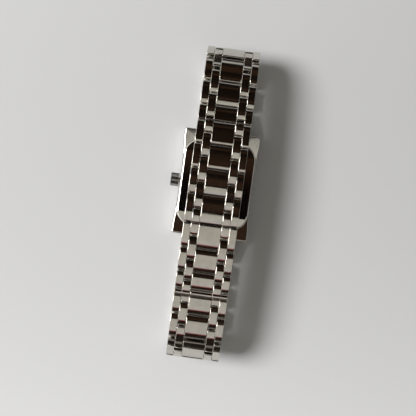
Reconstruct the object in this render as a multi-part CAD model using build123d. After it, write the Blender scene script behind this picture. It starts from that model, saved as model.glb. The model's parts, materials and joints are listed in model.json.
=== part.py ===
from build123d import *
import math
import os

# A rectangular quartz wristwatch that lies dial down, with its closed five-column bracelet looped above
# the case back. X runs across the case, Y towards 12 o'clock and Z up, from the crystal to the case back.
# The origin is on the surface that the crystal rests on. Everything is in millimetres.

# Driving sizes of the case
case_width = 23.6
case_length = 33.0
bezel_z = 0.35
back_face_z = 6.0
lug_side_gap = 0.1
notch_depth = 2.9
lug_pin_inset = 1.3
lug_pin_z = 3.4
corner_radius = 0.7
corner_flat_count = 2
end_bevel = 0.55
flat_back_share = 0.58
lug_rise = 0.5
waist_depth = 0.6
waist_flat_count = 4
side_round = 0.45
front_bevel = 0.5

# Driving sizes of the case back, the crystal and their seals
back_side_inset = 0.7
back_end_inset = 0.1
back_corner_radius = 5.0
back_flat_count = 4
back_thickness = 1.3
back_bevel = 0.6
back_end_drop = 0.45
back_pocket_gap = 0.05
back_flange_depth = 0.7
back_flange_wall = 0.8
back_gasket_thickness = 0.5
crystal_side_inset = 0.7
crystal_end_inset = 0.4
crystal_thickness = 1.2
crystal_corner_radius = 1.2
crystal_flat_count = 3
crystal_edge_bevel = 0.25
crystal_gasket_wall = 0.35
seal_clearance = 0.02

# Driving sizes of the cavity, the dial and the hands
side_wall = 1.8
notch_wall = 1.1
cavity_corner_radius = 2.6
dial_z = 2.2
dial_thickness = 0.4
dial_window_margin = 0.5
dial_hole_radius = 0.95
marker_height = 0.15
marker_width = 0.5
marker_length = 1.7
marker_edge_margin = 1.3
hour_blade_z = 1.92
minute_blade_z = 1.66
seconds_blade_z = 1.42
blade_thickness = 0.12
hour_reach_share = 0.28
minute_reach_share = 0.44
seconds_reach_share = 0.485
hand_tail = 1.4
hour_blade_width = 1.0
minute_blade_width = 0.8
seconds_blade_width = 0.25
hour_pipe_radius = 0.82
minute_pipe_radius = 0.52
seconds_arbor_radius = 0.22
pipe_clearance = 0.06

# Driving sizes of the movement
main_plate_z = 3.2
main_plate_thickness = 1.4
plate_side_inset = 1.6
plate_end_inset = 2.6
holder_thickness = 2.5
holder_clearance = 0.15
floor_gap = 0.05
wheel_sides = 16
hour_wheel_radius = 2.2
hour_wheel_thickness = 0.2
centre_wheel_radius = 2.2
seconds_wheel_radius = 2.4
third_wheel_radius = 2.3
train_pinion_radius = 0.6
seconds_pinion_radius = 0.5
wheel_thickness = 0.14
wheel_gap = 0.13
mesh_gap = 0.1
rotor_radius = 0.75
rotor_height = 0.3
rotor_air_gap = 0.12
arbor_radius = 0.2
arbor_clearance = 0.05
third_wheel_angle = 20.0
rotor_angle = 118.0
bridge_thickness = 0.3
battery_radius = 3.4
battery_height = 2.1
battery_side_inset = 1.0
battery_end_inset = 0.8
coil_radius = 0.95
coil_length = 7.0
coil_end_inset = 1.25
coil_core_thickness = 0.4
board_thickness = 0.2
board_inset = 0.4
chip_height = 0.25
clamp_thickness = 0.2
clamp_width = 2.0

# Driving sizes of the crown and its stem
crown_radius = 2.05
crown_length = 2.4
crown_gap = 0.45
crown_z = 3.9
crown_flutes = 14
flute_depth = 0.16
crown_bevel = 0.3
crown_bore_depth = 1.35
crown_pull = 1.0
crown_tube_radius = 0.95
crown_tube_reach = 0.9
stem_radius = 0.45
stem_reach_in_plate = 3.85
lever_inset = 2.33
stem_clearance = 0.07
stem_groove_radius = 0.26
lever_thickness = 0.4
lever_width = 1.8
lever_height = 1.3
lever_slack = 0.1

# Driving sizes of the bracelet
link_pitch = 7.2
link_thickness = 2.9
centre_width = 6.6
intermediate_width = 2.5
outer_width = 2.2
side_gap = 0.05
junction_gap = 0.12
dome_length = 2.6
dome_drop = 0.21
end_round = 0.33
inner_taper = 0.9
pin_radius = 0.4
pin_clearance = 0.06
pin_flats = 8
end_link_reach_12 = 7.15
end_link_reach_6 = 7.45
finger_root = 3.0
spring_bar_radius = 0.75
spring_bar_tip_radius = 0.4
spring_bar_tip_reach = 0.6
spring_bar_clearance = 0.06
strand_clearance = 0.1
strand_rise_angle = 6.0
bend_turns = 7
bend_lead_12 = 0.25
bend_lead_6 = 0.5
short_reach_12 = 2.9
short_reach_6 = 4.6

# Driving sizes of the clasp, whose cover has four rows of links and whose base has three
clasp_radius = 246.3
cover_rows = 4
base_rows = 3
row_shares = (0, 0.126, 0.262, 0.406, 0.573, 0.721, 0.863, 1)
cut_gap = 0.15
cut_taper_drop = 0.55
cover_web = 0.75
web_depth = 1.3
clasp_layer_gap = 0.15
arm_thickness = 0.8
arm_width = 8.0
base_plate_thickness = 0.8
base_plate_width = 15.4
base_root_share = 0.5
knuckle_radius = 0.8
knuckle_reach = 2.4
knuckle_side_gap = 0.15
knuckle_clearance = 0.12
clasp_pin_radius = 0.4
cut_knuckle_radius = 1.4
cut_knuckle_drop = 0.15
cut_setback = 1.15
stub_drop = 0.9
catch_post_radius = 0.4
catch_post_inset = 0.75
catch_engagement = 0.35
post_root = 0.3

# Sizes worked out from these
cavity_width = case_width - 2 * side_wall
cavity_length = case_length - 2 * (notch_depth + notch_wall)
back_width = case_width - 2 * back_side_inset
back_length = case_length - 2 * (notch_depth + back_end_inset)
crystal_width = cavity_width - 2 * crystal_side_inset
crystal_length = cavity_length - 2 * crystal_end_inset
hour_reach = hour_reach_share * crystal_width
minute_reach = minute_reach_share * crystal_width
seconds_reach = seconds_reach_share * crystal_width
main_plate_width = cavity_width - 2 * plate_side_inset
main_plate_length = cavity_length - 2 * plate_end_inset
battery_x = main_plate_width / 2 - battery_radius - battery_side_inset
battery_y = battery_radius + battery_end_inset - main_plate_length / 2
coil_y = main_plate_length / 2 - coil_radius - coil_end_inset
half_pitch = link_pitch / 2
half_thickness = link_thickness / 2
bracelet_width = centre_width + 2 * (intermediate_width + outer_width)
lug_gap = bracelet_width + 2 * lug_side_gap
column_places = (
    -(centre_width + outer_width) / 2 - intermediate_width,
    -(centre_width + intermediate_width) / 2,
    0,
    (centre_width + intermediate_width) / 2,
    (centre_width + outer_width) / 2 + intermediate_width,
)
column_widths = (
    outer_width,
    intermediate_width - 2 * side_gap,
    centre_width,
    intermediate_width - 2 * side_gap,
    outer_width,
)
lug_pin_y = case_length / 2 - lug_pin_inset
notch_wall_y = case_length / 2 - notch_depth
crystal_inner_z = crystal_thickness
plate_top_z = main_plate_z + main_plate_thickness
half_case = case_width / 2
waist_x = half_case - waist_depth
flat_back_y = flat_back_share * case_length / 2
stem_inner_x = stem_reach_in_plate - main_plate_width / 2
piece_end = half_pitch - junction_gap / 2


def save(shape, name):
    export_step(shape, "parts/" + name + ".step")


def rounded_outline(width, length, radius, flats=1):
    """A rectangle whose corners turn in this many flats, which keeps the sealed pieces light."""
    points = []
    for turn, (side_x, side_y) in enumerate(((1, 1), (-1, 1), (-1, -1), (1, -1))):
        for step in range(flats + 1):
            angle = math.radians(90 * turn + 90 * step / flats)
            x = side_x * (width / 2 - radius) + radius * math.cos(angle)
            y = side_y * (length / 2 - radius) + radius * math.sin(angle)
            points.append((x, y))
    return make_face(Polyline(*points, close=True))


def slab(width, length, thickness, low_z, radius, flats=1):
    """A flat slab with rounded corners, its underside at low_z."""
    outline = rounded_outline(width, length, radius, flats)
    return Pos(0, 0, low_z) * extrude(outline, amount=thickness)


def frame_ring(outer, inner, thickness, low_z, flats=1):
    """A slab with a window: outer and inner are (width, length, corner radius)."""
    face = rounded_outline(*outer, flats) - rounded_outline(*inner, flats)
    return Pos(0, 0, low_z) * extrude(face, amount=thickness)


def disc(radius, thickness, low_z, x=0, y=0):
    return Pos(x, y, low_z) * extrude(Circle(radius), amount=thickness)


def prism(radius, thickness, low_z, x=0, y=0, sides=8, inside=False):
    """A many-sided disc; with inside, its flats stand at this radius and not its corners."""
    outline = RegularPolygon(radius, sides, major_radius=not inside)
    return Pos(x, y, low_z) * extrude(outline, amount=thickness)


def rod(radius, length, low_x, y, z):
    """A round rod along X that starts at low_x."""
    return Pos(low_x, y, z) * (Rot(0, 90, 0) * extrude(Circle(radius), amount=length))


def stem_rod(radius, start, end):
    """A many-sided rod on the axis of the crown."""
    return Pos(start, 0, crown_z) * (Rot(0, 90, 0) * prism(radius, end - start, 0))


def bar_end(radius, length, low_x, y, inside=False):
    """The end of a spring bar, or with inside the hole in a lug that takes it."""
    end = prism(radius, length, 0, inside=inside)
    return Pos(low_x, y, lug_pin_z) * (Rot(0, 90, 0) * end)


# Case


def end_outline():
    """The case seen from 6 o'clock, its long edges cut off at a slant."""
    top_z = back_face_z + lug_rise
    outline = Polyline(
        (-half_case + front_bevel, bezel_z),
        (half_case - front_bevel, bezel_z),
        (half_case, bezel_z + front_bevel),
        (half_case, top_z - side_round),
        (half_case - side_round, top_z),
        (-half_case + side_round, top_z),
        (-half_case, top_z - side_round),
        (-half_case, bezel_z + front_bevel),
        close=True,
    )
    return make_face(outline)


def side_outline():
    """The case seen from the crown: level behind the movement, rising a little to the lug ends."""
    half = case_length / 2
    slope = lug_rise / (half - flat_back_y)
    bevel_z = back_face_z + lug_rise - slope * end_bevel
    outline = Polyline(
        (-half + front_bevel, bezel_z),
        (half - front_bevel, bezel_z),
        (half, bezel_z + front_bevel),
        (half, bevel_z - end_bevel),
        (half - end_bevel, bevel_z),
        (flat_back_y, back_face_z),
        (-flat_back_y, back_face_z),
        (-half + end_bevel, bevel_z),
        (-half, bevel_z - end_bevel),
        (-half, bezel_z + front_bevel),
        close=True,
    )
    return make_face(outline)


def waist_edge(side):
    """One long side of the case from above, which draws in between the lugs."""
    half = back_length / 2
    points = [(side * half_case, -side * case_length / 2)]
    for step in range(waist_flat_count + 1):
        y = side * half * (2 * step / waist_flat_count - 1)
        x = half_case - waist_depth * (1 - (y / half) ** 2)
        points.append((side * x, y))
    points.append((side * half_case, side * case_length / 2))
    return points


def make_mid_case():
    height = back_face_z + lug_rise - bezel_z
    body = slab(case_width, case_length, height, bezel_z, corner_radius, corner_flat_count)
    body = body & extrude(Plane.YZ * side_outline(), amount=case_width, both=True)
    body = body & extrude(Plane.XZ * end_outline(), amount=case_length, both=True)
    plan = make_face(Polyline(*waist_edge(1), *waist_edge(-1), close=True))
    body = body & extrude(plan, amount=2 * back_face_z)
    pocket_width = back_width + 2 * back_pocket_gap
    pocket_length = back_length + 2 * back_pocket_gap
    pocket_radius = back_corner_radius + back_pocket_gap
    body -= slab(
        pocket_width, pocket_length, back_thickness, back_face_z, pocket_radius, back_flat_count
    )
    over = back_face_z
    for side in (1, -1):
        notch = Box(lug_gap, 2 * notch_depth, 2 * over)
        body -= Pos(0, side * case_length / 2, back_face_z / 2) * notch
    seat_width = crystal_width + 2 * crystal_gasket_wall
    seat_length = crystal_length + 2 * crystal_gasket_wall
    seat_depth = crystal_thickness
    body -= slab(seat_width, seat_length, seat_depth, 0, crystal_corner_radius, crystal_flat_count)
    window_width = crystal_width - 2 * dial_window_margin
    window_length = crystal_length - 2 * dial_window_margin
    body -= slab(window_width, window_length, dial_z, 0, crystal_corner_radius)
    body -= slab(cavity_width, cavity_length, over, dial_z, cavity_corner_radius)
    tip_hole = spring_bar_tip_radius + spring_bar_clearance
    tip_depth = spring_bar_tip_reach + spring_bar_clearance
    for side in (1, -1):
        for end in (1, -1):
            low_x = side * (lug_gap / 2 + tip_depth / 2) - tip_depth / 2
            body -= bar_end(tip_hole, tip_depth, low_x, end * lug_pin_y, True)
    body -= rod(crown_tube_radius, half_case, -case_width, 0, crown_z)
    body -= rod(crown_tube_radius, half_case, -half_case, 0, crown_z)
    return body


def make_case_back():
    plate = slab(
        back_width, back_length, back_thickness, back_face_z, back_corner_radius, back_flat_count
    )
    plate = chamfer(plate.faces().sort_by(Axis.Z)[-1].edges(), back_bevel)
    half = back_length / 2
    top_z = back_face_z + back_thickness
    sloped = Polyline(
        (-half, back_face_z),
        (half, back_face_z),
        (half, top_z - back_end_drop),
        (flat_back_y, top_z),
        (-flat_back_y, top_z),
        (-half, top_z - back_end_drop),
        close=True,
    )
    plate = plate & extrude(Plane.YZ * make_face(sloped), amount=back_width, both=True)
    inset = 2 * (back_gasket_thickness + 2 * seal_clearance)
    flange_width = cavity_width - inset
    flange_length = cavity_length - inset
    flange_radius = cavity_corner_radius - inset / 2
    wall = back_flange_wall
    flange = frame_ring(
        (flange_width, flange_length, flange_radius),
        (flange_width - 2 * wall, flange_length - 2 * wall, flange_radius - wall),
        back_flange_depth,
        back_face_z - back_flange_depth,
    )
    return plate + flange


def make_back_gasket():
    outer = 2 * seal_clearance
    inner = outer + 2 * back_gasket_thickness
    return frame_ring(
        (cavity_width - outer, cavity_length - outer, cavity_corner_radius - outer / 2),
        (cavity_width - inner, cavity_length - inner, cavity_corner_radius - inner / 2),
        back_flange_depth - seal_clearance,
        back_face_z - back_flange_depth,
    )


def make_crystal():
    glass = slab(
        crystal_width,
        crystal_length,
        crystal_thickness,
        0,
        crystal_corner_radius,
        crystal_flat_count,
    )
    return chamfer(glass.faces().sort_by(Axis.Z)[0].edges(), crystal_edge_bevel)


def make_crystal_gasket():
    outer = 2 * crystal_gasket_wall - 2 * seal_clearance
    inner = 2 * seal_clearance
    return frame_ring(
        (crystal_width + outer, crystal_length + outer, crystal_corner_radius),
        (crystal_width + inner, crystal_length + inner, crystal_corner_radius),
        crystal_thickness - bezel_z - seal_clearance,
        bezel_z,
        crystal_flat_count,
    )


# Dial, markers and hands


def make_dial():
    fit = 2 * pipe_clearance
    width = cavity_width - fit
    length = cavity_length - fit
    plate = slab(width, length, dial_thickness, dial_z, cavity_corner_radius - fit / 2)
    return plate - prism(dial_hole_radius, dial_thickness, dial_z, inside=True)


def make_markers():
    """Twelve batons: each lies on the ray of its hour, where that meets the edge of the dial."""
    batons = []
    reach_x = crystal_width / 2 - dial_window_margin - marker_edge_margin
    reach_y = crystal_length / 2 - dial_window_margin - marker_edge_margin
    for hour in range(12):
        angle = math.radians(90 - 30 * hour)
        across = abs(math.cos(angle)) * reach_y
        along = abs(math.sin(angle)) * reach_x
        if along >= across:
            reach = reach_y / abs(math.sin(angle))
        else:
            reach = reach_x / abs(math.cos(angle))
        middle = reach - marker_length / 2
        baton = Box(marker_length, marker_width, marker_height)
        turned = Rot(0, 0, math.degrees(angle)) * baton
        # The dial faces down, so 3 o'clock is on the side of -X, where the crown is
        x = -middle * math.cos(angle)
        y = middle * math.sin(angle)
        mirrored = Rot(0, 0, 180 - 2 * math.degrees(angle)) * turned
        batons.append(Pos(x, y, dial_z - marker_height / 2) * mirrored)
    return Compound(batons)


def make_hand(reach, width, blade_z, pipe_radius, bore_radius, top_z, hour):
    """A tapered blade on a pipe, with its tail behind the centre, that points at the given hour."""
    angle = 90 + 30 * hour
    outline = Polyline(
        (-hand_tail, width / 4),
        (0, width / 2),
        (reach * 3 / 4, width / 3),
        (reach, 0),
        (reach * 3 / 4, -width / 3),
        (0, -width / 2),
        (-hand_tail, -width / 4),
        close=True,
    )
    blade = extrude(make_face(outline), amount=blade_thickness)
    hand = Pos(0, 0, blade_z) * (Rot(0, 0, angle) * blade)
    hand += prism(pipe_radius, top_z - blade_z, blade_z)
    if bore_radius:
        hand -= prism(bore_radius, top_z - blade_z, blade_z, inside=True)
    return hand


def wheel(radius, thickness, low_z, x=0, y=0):
    return prism(radius, thickness, low_z, x, y, wheel_sides)


def wheel_levels():
    """The heights of the centre wheel, the seconds wheel and the third wheel over the main plate."""
    centre = plate_top_z + wheel_gap
    seconds = centre + wheel_thickness + wheel_gap
    third = seconds + wheel_thickness + wheel_gap
    return centre, seconds, third


def make_hour_hand():
    low = dial_z + dial_thickness + floor_gap * 2
    top = low + hour_wheel_thickness
    bore = minute_pipe_radius + pipe_clearance
    hand = make_hand(hour_reach, hour_blade_width, hour_blade_z, hour_pipe_radius, bore, top, 10)
    rim = wheel(hour_wheel_radius, hour_wheel_thickness, low)
    return hand + (rim - prism(bore, hour_wheel_thickness, low, inside=True))


def make_minute_hand():
    centre, seconds, third = wheel_levels()
    bore = seconds_arbor_radius + pipe_clearance
    top = centre + wheel_thickness
    hand = make_hand(
        minute_reach, minute_blade_width, minute_blade_z, minute_pipe_radius, bore, top, 2
    )
    rim = wheel(centre_wheel_radius, wheel_thickness, centre)
    return hand + (rim - prism(bore, wheel_thickness, centre, inside=True))


def bridge_z():
    return wheel_levels()[2] + wheel_thickness + wheel_gap


def make_seconds_hand():
    centre, seconds, third = wheel_levels()
    top = bridge_z() + bridge_thickness / 2
    hand = make_hand(
        seconds_reach, seconds_blade_width, seconds_blade_z, seconds_arbor_radius, 0, top, 6
    )
    hand += wheel(seconds_wheel_radius, wheel_thickness, seconds)
    return hand + prism(seconds_pinion_radius, wheel_thickness, third)


# Movement


def polar(distance, angle):
    return distance * math.cos(math.radians(angle)), distance * math.sin(math.radians(angle))


third_x, third_y = polar(centre_wheel_radius + train_pinion_radius + mesh_gap, third_wheel_angle)
rotor_x, rotor_y = polar(seconds_wheel_radius + train_pinion_radius + mesh_gap, rotor_angle)


def make_third_wheel():
    centre, seconds, third = wheel_levels()
    foot = plate_top_z - main_plate_thickness / 3
    height = bridge_z() + bridge_thickness / 2 - foot
    arbor = prism(arbor_radius, height, foot, third_x, third_y)
    arbor += prism(train_pinion_radius, wheel_thickness, centre, third_x, third_y)
    return arbor + wheel(third_wheel_radius, wheel_thickness, third, third_x, third_y)


def make_rotor():
    centre, seconds, third = wheel_levels()
    foot = plate_top_z - main_plate_thickness / 3
    height = bridge_z() + bridge_thickness / 2 - foot
    rotor = prism(arbor_radius, height, foot, rotor_x, rotor_y)
    rotor += prism(rotor_radius, rotor_height, plate_top_z + floor_gap, rotor_x, rotor_y)
    return rotor + prism(train_pinion_radius, wheel_thickness, seconds, rotor_x, rotor_y)


def lever_box(slack, travel):
    """The place of the setting lever, and with slack and travel its pocket."""
    width_x = lever_thickness + 2 * slack + travel
    x = lever_x() - travel / 2
    return Pos(x, 0, crown_z) * Box(width_x, lever_width + 2 * slack, lever_height + 2 * slack)


def lever_x():
    return -main_plate_width / 2 + lever_inset


def make_main_plate():
    plate = slab(
        main_plate_width,
        main_plate_length,
        main_plate_thickness,
        main_plate_z,
        crystal_corner_radius,
    )
    deep = main_plate_thickness
    plate -= prism(minute_pipe_radius + pipe_clearance, deep, main_plate_z, inside=True)
    hole = arbor_radius + arbor_clearance
    for x, y in ((third_x, third_y), (rotor_x, rotor_y)):
        plate -= prism(hole, deep, main_plate_z, x, y, inside=True)
    seat = battery_radius + arbor_clearance * 2
    plate -= disc(seat, deep, main_plate_z, battery_x, battery_y)
    channel = 2 * (stem_radius + stem_clearance)
    channel_x = stem_inner_x + stem_clearance * 2 - half_case / 2
    plate -= Pos(channel_x, 0, crown_z) * Box(half_case, channel, channel)
    plate -= lever_box(lever_slack, crown_pull + lever_slack)
    bed = 2 * (coil_radius + arbor_clearance)
    return plate - Pos(0, coil_y, coil_z()) * Box(coil_length + bed, bed, bed)


def coil_z():
    return plate_top_z


def make_holder():
    fit = holder_clearance
    ring = frame_ring(
        (cavity_width - 2 * fit, cavity_length - 2 * fit, cavity_corner_radius - fit),
        (main_plate_width + 2 * fit, main_plate_length + 2 * fit, crystal_corner_radius + fit),
        holder_thickness,
        dial_z + dial_thickness + floor_gap,
    )
    channel = 2 * (stem_radius + 3 * stem_clearance)
    return ring - Pos(-half_case, 0, crown_z) * Box(half_case, channel, channel)


def make_board():
    """The circuit board fills the corner of the main plate that the battery and the train leave."""
    board_width = main_plate_width / 2 - centre_wheel_radius
    board_length = main_plate_length / 2 - centre_wheel_radius
    x = -main_plate_width / 2 + board_width / 2 + board_inset
    y = -main_plate_length / 2 + board_length / 2 + board_inset
    z = plate_top_z + floor_gap
    board = Pos(x, y, z) * extrude(Rectangle(board_width, board_length), amount=board_thickness)
    chip = Pos(x, y, z + board_thickness) * extrude(
        Rectangle(board_width / 3, board_width / 3), amount=chip_height
    )
    return board + chip


def make_battery():
    low = main_plate_z - floor_gap * 2
    can = disc(battery_radius, battery_height, low, battery_x, battery_y)
    return chamfer(can.faces().sort_by(Axis.Z)[-1].edges(), clamp_thickness)


def make_clamp():
    """A spring strip that holds the battery down and reaches the circuit board."""
    low = main_plate_z - floor_gap * 2 + battery_height + floor_gap
    left = -main_plate_width / 2 + clamp_width / 2
    strip_length = battery_x - left
    x = (battery_x + left) / 2
    strip = Pos(x, battery_y, low) * extrude(
        Rectangle(strip_length, clamp_width), amount=clamp_thickness
    )
    foot_height = low - plate_top_z - floor_gap - board_thickness - floor_gap
    foot = Pos(left + clamp_width / 2, battery_y, low - foot_height) * extrude(
        Rectangle(clamp_thickness, clamp_width), amount=foot_height
    )
    return strip + foot


def make_coil():
    """The winding on its core, whose two ends rest on the main plate."""
    winding = rod(coil_radius, coil_length, -coil_length / 2, coil_y, coil_z())
    core_length = coil_length + 4 * coil_radius
    core = Box(core_length, coil_radius, coil_core_thickness)
    middle = plate_top_z + floor_gap + coil_core_thickness / 2
    return winding + Pos(0, coil_y, middle) * core


def make_stator():
    """The iron plate between the coil and the rotor, open round the rotor and the centre wheel."""
    length = coil_y - coil_radius - mesh_gap - rotor_y + rotor_radius * 2
    width = 4 * rotor_radius
    low = plate_top_z + floor_gap
    plate = Pos(rotor_x, coil_y - coil_radius - mesh_gap - length / 2, low) * extrude(
        Rectangle(width, length), amount=rotor_height
    )
    plate -= prism(rotor_radius + rotor_air_gap, rotor_height, low, rotor_x, rotor_y, inside=True)
    return plate - wheel(centre_wheel_radius + rotor_air_gap, rotor_height, low)


def make_bridge():
    """The train bridge, on two feet that stand on the main plate."""
    low = bridge_z()
    left = rotor_x - rotor_radius * 4
    right = third_x + third_wheel_radius + clamp_width
    top = rotor_y + rotor_radius * 2
    bottom = -seconds_wheel_radius / 2
    plate = Pos((left + right) / 2, (top + bottom) / 2, low) * extrude(
        Rectangle(right - left, top - bottom), amount=bridge_thickness
    )
    foot_width = clamp_width / 2
    foot_height = low - plate_top_z - floor_gap
    for x in (left + foot_width / 2, right - foot_width / 2):
        plate += Pos(x, (top + bottom) / 2, low - foot_height) * extrude(
            Rectangle(foot_width, top - bottom), amount=foot_height
        )
    hole = seconds_arbor_radius + arbor_clearance
    for x, y in ((0, 0), (third_x, third_y), (rotor_x, rotor_y)):
        plate -= prism(hole, bridge_thickness, low, x, y, inside=True)
    return plate


# Crown, stem and setting lever

crown_inner_x = -waist_x - crown_gap


def make_crown():
    """The knob, its rim serrated by one outline, hollow where it slides over the crown tube."""
    points = []
    for step in range(2 * crown_flutes):
        radius = crown_radius - flute_depth * (step % 2)
        angle = math.radians(step * 180 / crown_flutes)
        points.append((radius * math.cos(angle), radius * math.sin(angle)))
    rim = make_face(Polyline(*points, close=True))
    x = crown_inner_x - crown_length
    knob = Pos(x, 0, crown_z) * (Rot(0, 90, 0) * extrude(rim, amount=crown_length))
    cap = extrude(Circle(crown_radius - crown_bevel), amount=crown_bevel)
    knob += Pos(x - crown_bevel / 2, 0, crown_z) * (Rot(0, 90, 0) * cap)
    bore = crown_tube_radius + stem_clearance
    return knob - rod(bore, crown_bore_depth, crown_inner_x - crown_bore_depth, 0, crown_z)


def make_crown_tube():
    inner_x = -cavity_width / 2 - holder_clearance
    outer_x = -half_case - crown_tube_reach
    tube = rod(crown_tube_radius, inner_x - outer_x, outer_x, 0, crown_z)
    return tube - rod(stem_radius + stem_clearance, inner_x - outer_x, outer_x, 0, crown_z)


def make_stem():
    outer_x = crown_inner_x - crown_bore_depth
    groove_x = lever_x() - lever_thickness / 2 - lever_slack
    groove_end = groove_x + lever_thickness + 2 * lever_slack
    stem = stem_rod(stem_radius, outer_x, groove_x)
    stem += stem_rod(stem_groove_radius, outer_x, stem_inner_x)
    return stem + stem_rod(stem_radius, groove_end, stem_inner_x)


def make_lever():
    """A fork that straddles the groove of the stem and slides with it."""
    lever = lever_box(0, 0)
    slot = stem_groove_radius + stem_clearance
    lever -= rod(slot, case_width, -case_width, 0, crown_z)
    opening = Pos(-half_case, 0, crown_z + lever_height / 2)
    return lever - opening * Box(case_width, 2 * slot, lever_height)


# Bracelet: each body of a chain runs from one hinge to the next along its own X, and its own Z points
# away from the wrist


def domed_end(end, facing):
    """The corners of a domed end, from the outer face down to the end's foremost edge."""
    shoulder_z = half_thickness - dome_drop
    return [
        (end - facing * dome_length, half_thickness),
        (end - facing * end_round, shoulder_z),
        (end, shoulder_z - 2 * end_round),
    ]


def domed_profile(back, front):
    """The side outline of a link piece: domed to both ends above, tapered to them below."""
    low = [(front - inner_taper, -half_thickness), (back + inner_taper, -half_thickness)]
    points = domed_end(front, 1) + low + domed_end(back, -1)[::-1]
    return make_face(Polyline(*points, close=True))


def cut_profile(back, front):
    """Like the domed outline, but flat at its front, where the bracelet is cut straight across."""
    points = [
        (front, half_thickness),
        (front, -cut_taper_drop),
        (front - inner_taper, -half_thickness),
        (back + inner_taper, -half_thickness),
    ]
    return make_face(Polyline(*points, *domed_end(back, -1)[::-1], close=True))


def across(profile, width, place=0):
    """A side outline as a solid of this width, centred at this place across the bracelet."""
    return Pos(0, place, 0) * extrude(Plane.XZ * profile, amount=width / 2, both=True)


def pin_outline(radius, x, inside=False):
    flat_angle = 180 / pin_flats
    shape = RegularPolygon(radius, pin_flats, major_radius=not inside, rotation=flat_angle)
    return Pos(x, 0) * shape


def cross_pins(places):
    """Pins that cross both slots and bite into the centre and the outer pieces."""
    reach = centre_width + 2 * intermediate_width + outer_width
    return [across(pin_outline(pin_radius, x), reach) for x in places]


def make_row(back, front, profile, pins):
    """Outer, centre and outer piece of one row, joined by the pins that cross the slots."""
    row = across(profile(back, front), column_widths[2], column_places[2])
    for column in (0, 4):
        row += across(profile(back, front), column_widths[column], column_places[column])
    for pin in cross_pins(pins):
        row += pin
    return row


def make_pair():
    """The two intermediate pieces, each bored for the pins of the rows before and after it."""
    profile = domed_profile(-piece_end, piece_end)
    for x in (-half_pitch / 2, half_pitch / 2):
        profile -= pin_outline(pin_radius + pin_clearance, x, inside=True)
    return [across(profile, column_widths[column], column_places[column]) for column in (1, 3)]


def make_end_link(reach):
    """The link between the lugs: one block round the spring bar, then a row with its two slots."""
    pair_back = reach - (piece_end - half_pitch / 2) - junction_gap
    front = reach + piece_end - half_pitch / 2
    eye = half_thickness
    block = make_face(
        [
            CenterArc((0, 0), eye, 90, 180),
            Line((0, -eye), (pair_back, -eye)),
            Line((pair_back, -eye), (pair_back, eye)),
            Line((pair_back, eye), (0, eye)),
        ]
    )
    block -= Circle(spring_bar_radius + spring_bar_clearance)
    link = across(block, bracelet_width)
    fingers = make_row(pair_back - finger_root, front, domed_profile, (reach,))
    keep = Pos(pair_back + link_pitch / 2, 0, 0) * Box(link_pitch, 2 * bracelet_width, 2 * link_pitch)
    return link + (fingers & keep)


def make_short_row(front, drop=0):
    """The short row up to a straight cut, its intermediate columns filled by one bar, lower by the drop."""
    back = -(piece_end - half_pitch / 2)
    row = make_row(back, front, cut_profile, (0,))
    stub = piece_end - half_pitch / 2 + junction_gap
    filling = across(cut_profile(back, front), bracelet_width)
    keep = Pos(stub + link_pitch / 2, 0, -drop - half_pitch + half_thickness)
    return row + (filling & keep * Box(link_pitch, link_pitch * 3, link_pitch))


def chain_headings(lower_bodies, lead):
    """The angle of each body from level, from the lug round the bend, which starts by this share of a turn."""
    step = (180 - strand_rise_angle) / bend_turns
    return [0] * lower_bodies + [step * (turn - lead) for turn in range(1, bend_turns + 1)]


def chain_plane(side, y, z, heading):
    """The frame of a body at a hinge, on the 12 o'clock side (1) or the 6 o'clock side (-1)."""
    angle = math.radians(heading)
    along = (0, side * math.cos(angle), math.sin(angle))
    outward = (0, side * math.sin(angle), -math.cos(angle))
    return Plane(origin=(0, y, z), x_dir=along, z_dir=outward)


def chain(side, end_link_reach, lower_bodies, lead, top_bodies, short_reach):
    """The hinge places and headings of one half of the bracelet, and the end of its short row."""
    strand_z = half_thickness + strand_clearance
    slope = -math.degrees(math.asin((lug_pin_z - strand_z) / end_link_reach))
    rise = 180 - strand_rise_angle
    headings = chain_headings(lower_bodies, lead) + [rise] * top_bodies
    lengths = [end_link_reach] + [half_pitch] * len(headings) + [short_reach]
    headings = [slope] + headings + [rise]
    y = side * lug_pin_y
    z = lug_pin_z
    frames = []
    for heading, length in zip(headings, lengths):
        frames.append((chain_plane(side, y, z, heading), heading, (y, z)))
        y += side * length * math.cos(math.radians(heading))
        z += length * math.sin(math.radians(heading))
    return frames, (y, z)


# The photograph's rows: two full rows and the short row lie on the top strand at 12, one at 6
chain_12, cut_12 = chain(1, end_link_reach_12, 3, bend_lead_12, 3, short_reach_12)
chain_6, cut_6 = chain(-1, end_link_reach_6, 6, bend_lead_6, 2, short_reach_6)


# Clasp, in its own frame: X from the 6 o'clock cut to the 12 o'clock cut, Z away from the wrist, the
# origin on top of the arc that the middles of its links follow

clasp_chord = math.hypot(cut_12[0] - cut_6[0], cut_12[1] - cut_6[1])
clasp_half_angle = math.asin(clasp_chord / 2 / clasp_radius)
clasp_arc = 2 * clasp_radius * clasp_half_angle
clasp_pitch = clasp_arc / (cover_rows + base_rows)
row_stops = [share * clasp_arc for share in row_shares]
clasp_line = row_stops[base_rows]
clasp_lean = math.atan2(cut_12[1] - cut_6[1], cut_12[0] - cut_6[0])
clasp_sag = clasp_radius * (1 - math.cos(clasp_half_angle))
clasp_plane = Plane(
    origin=(
        0,
        (cut_12[0] + cut_6[0]) / 2 - clasp_sag * math.sin(clasp_lean),
        (cut_12[1] + cut_6[1]) / 2 + clasp_sag * math.cos(clasp_lean),
    ),
    x_dir=(0, math.cos(clasp_lean), math.sin(clasp_lean)),
    z_dir=(0, -math.sin(clasp_lean), math.cos(clasp_lean)),
)
cover_under = half_thickness - web_depth - cover_web
arm_top = cover_under - clasp_layer_gap
arm_low = arm_top - arm_thickness
base_top = arm_low - clasp_layer_gap
base_low = base_top - base_plate_thickness
inner_hinge_z = cover_under - knuckle_radius / 4
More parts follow.
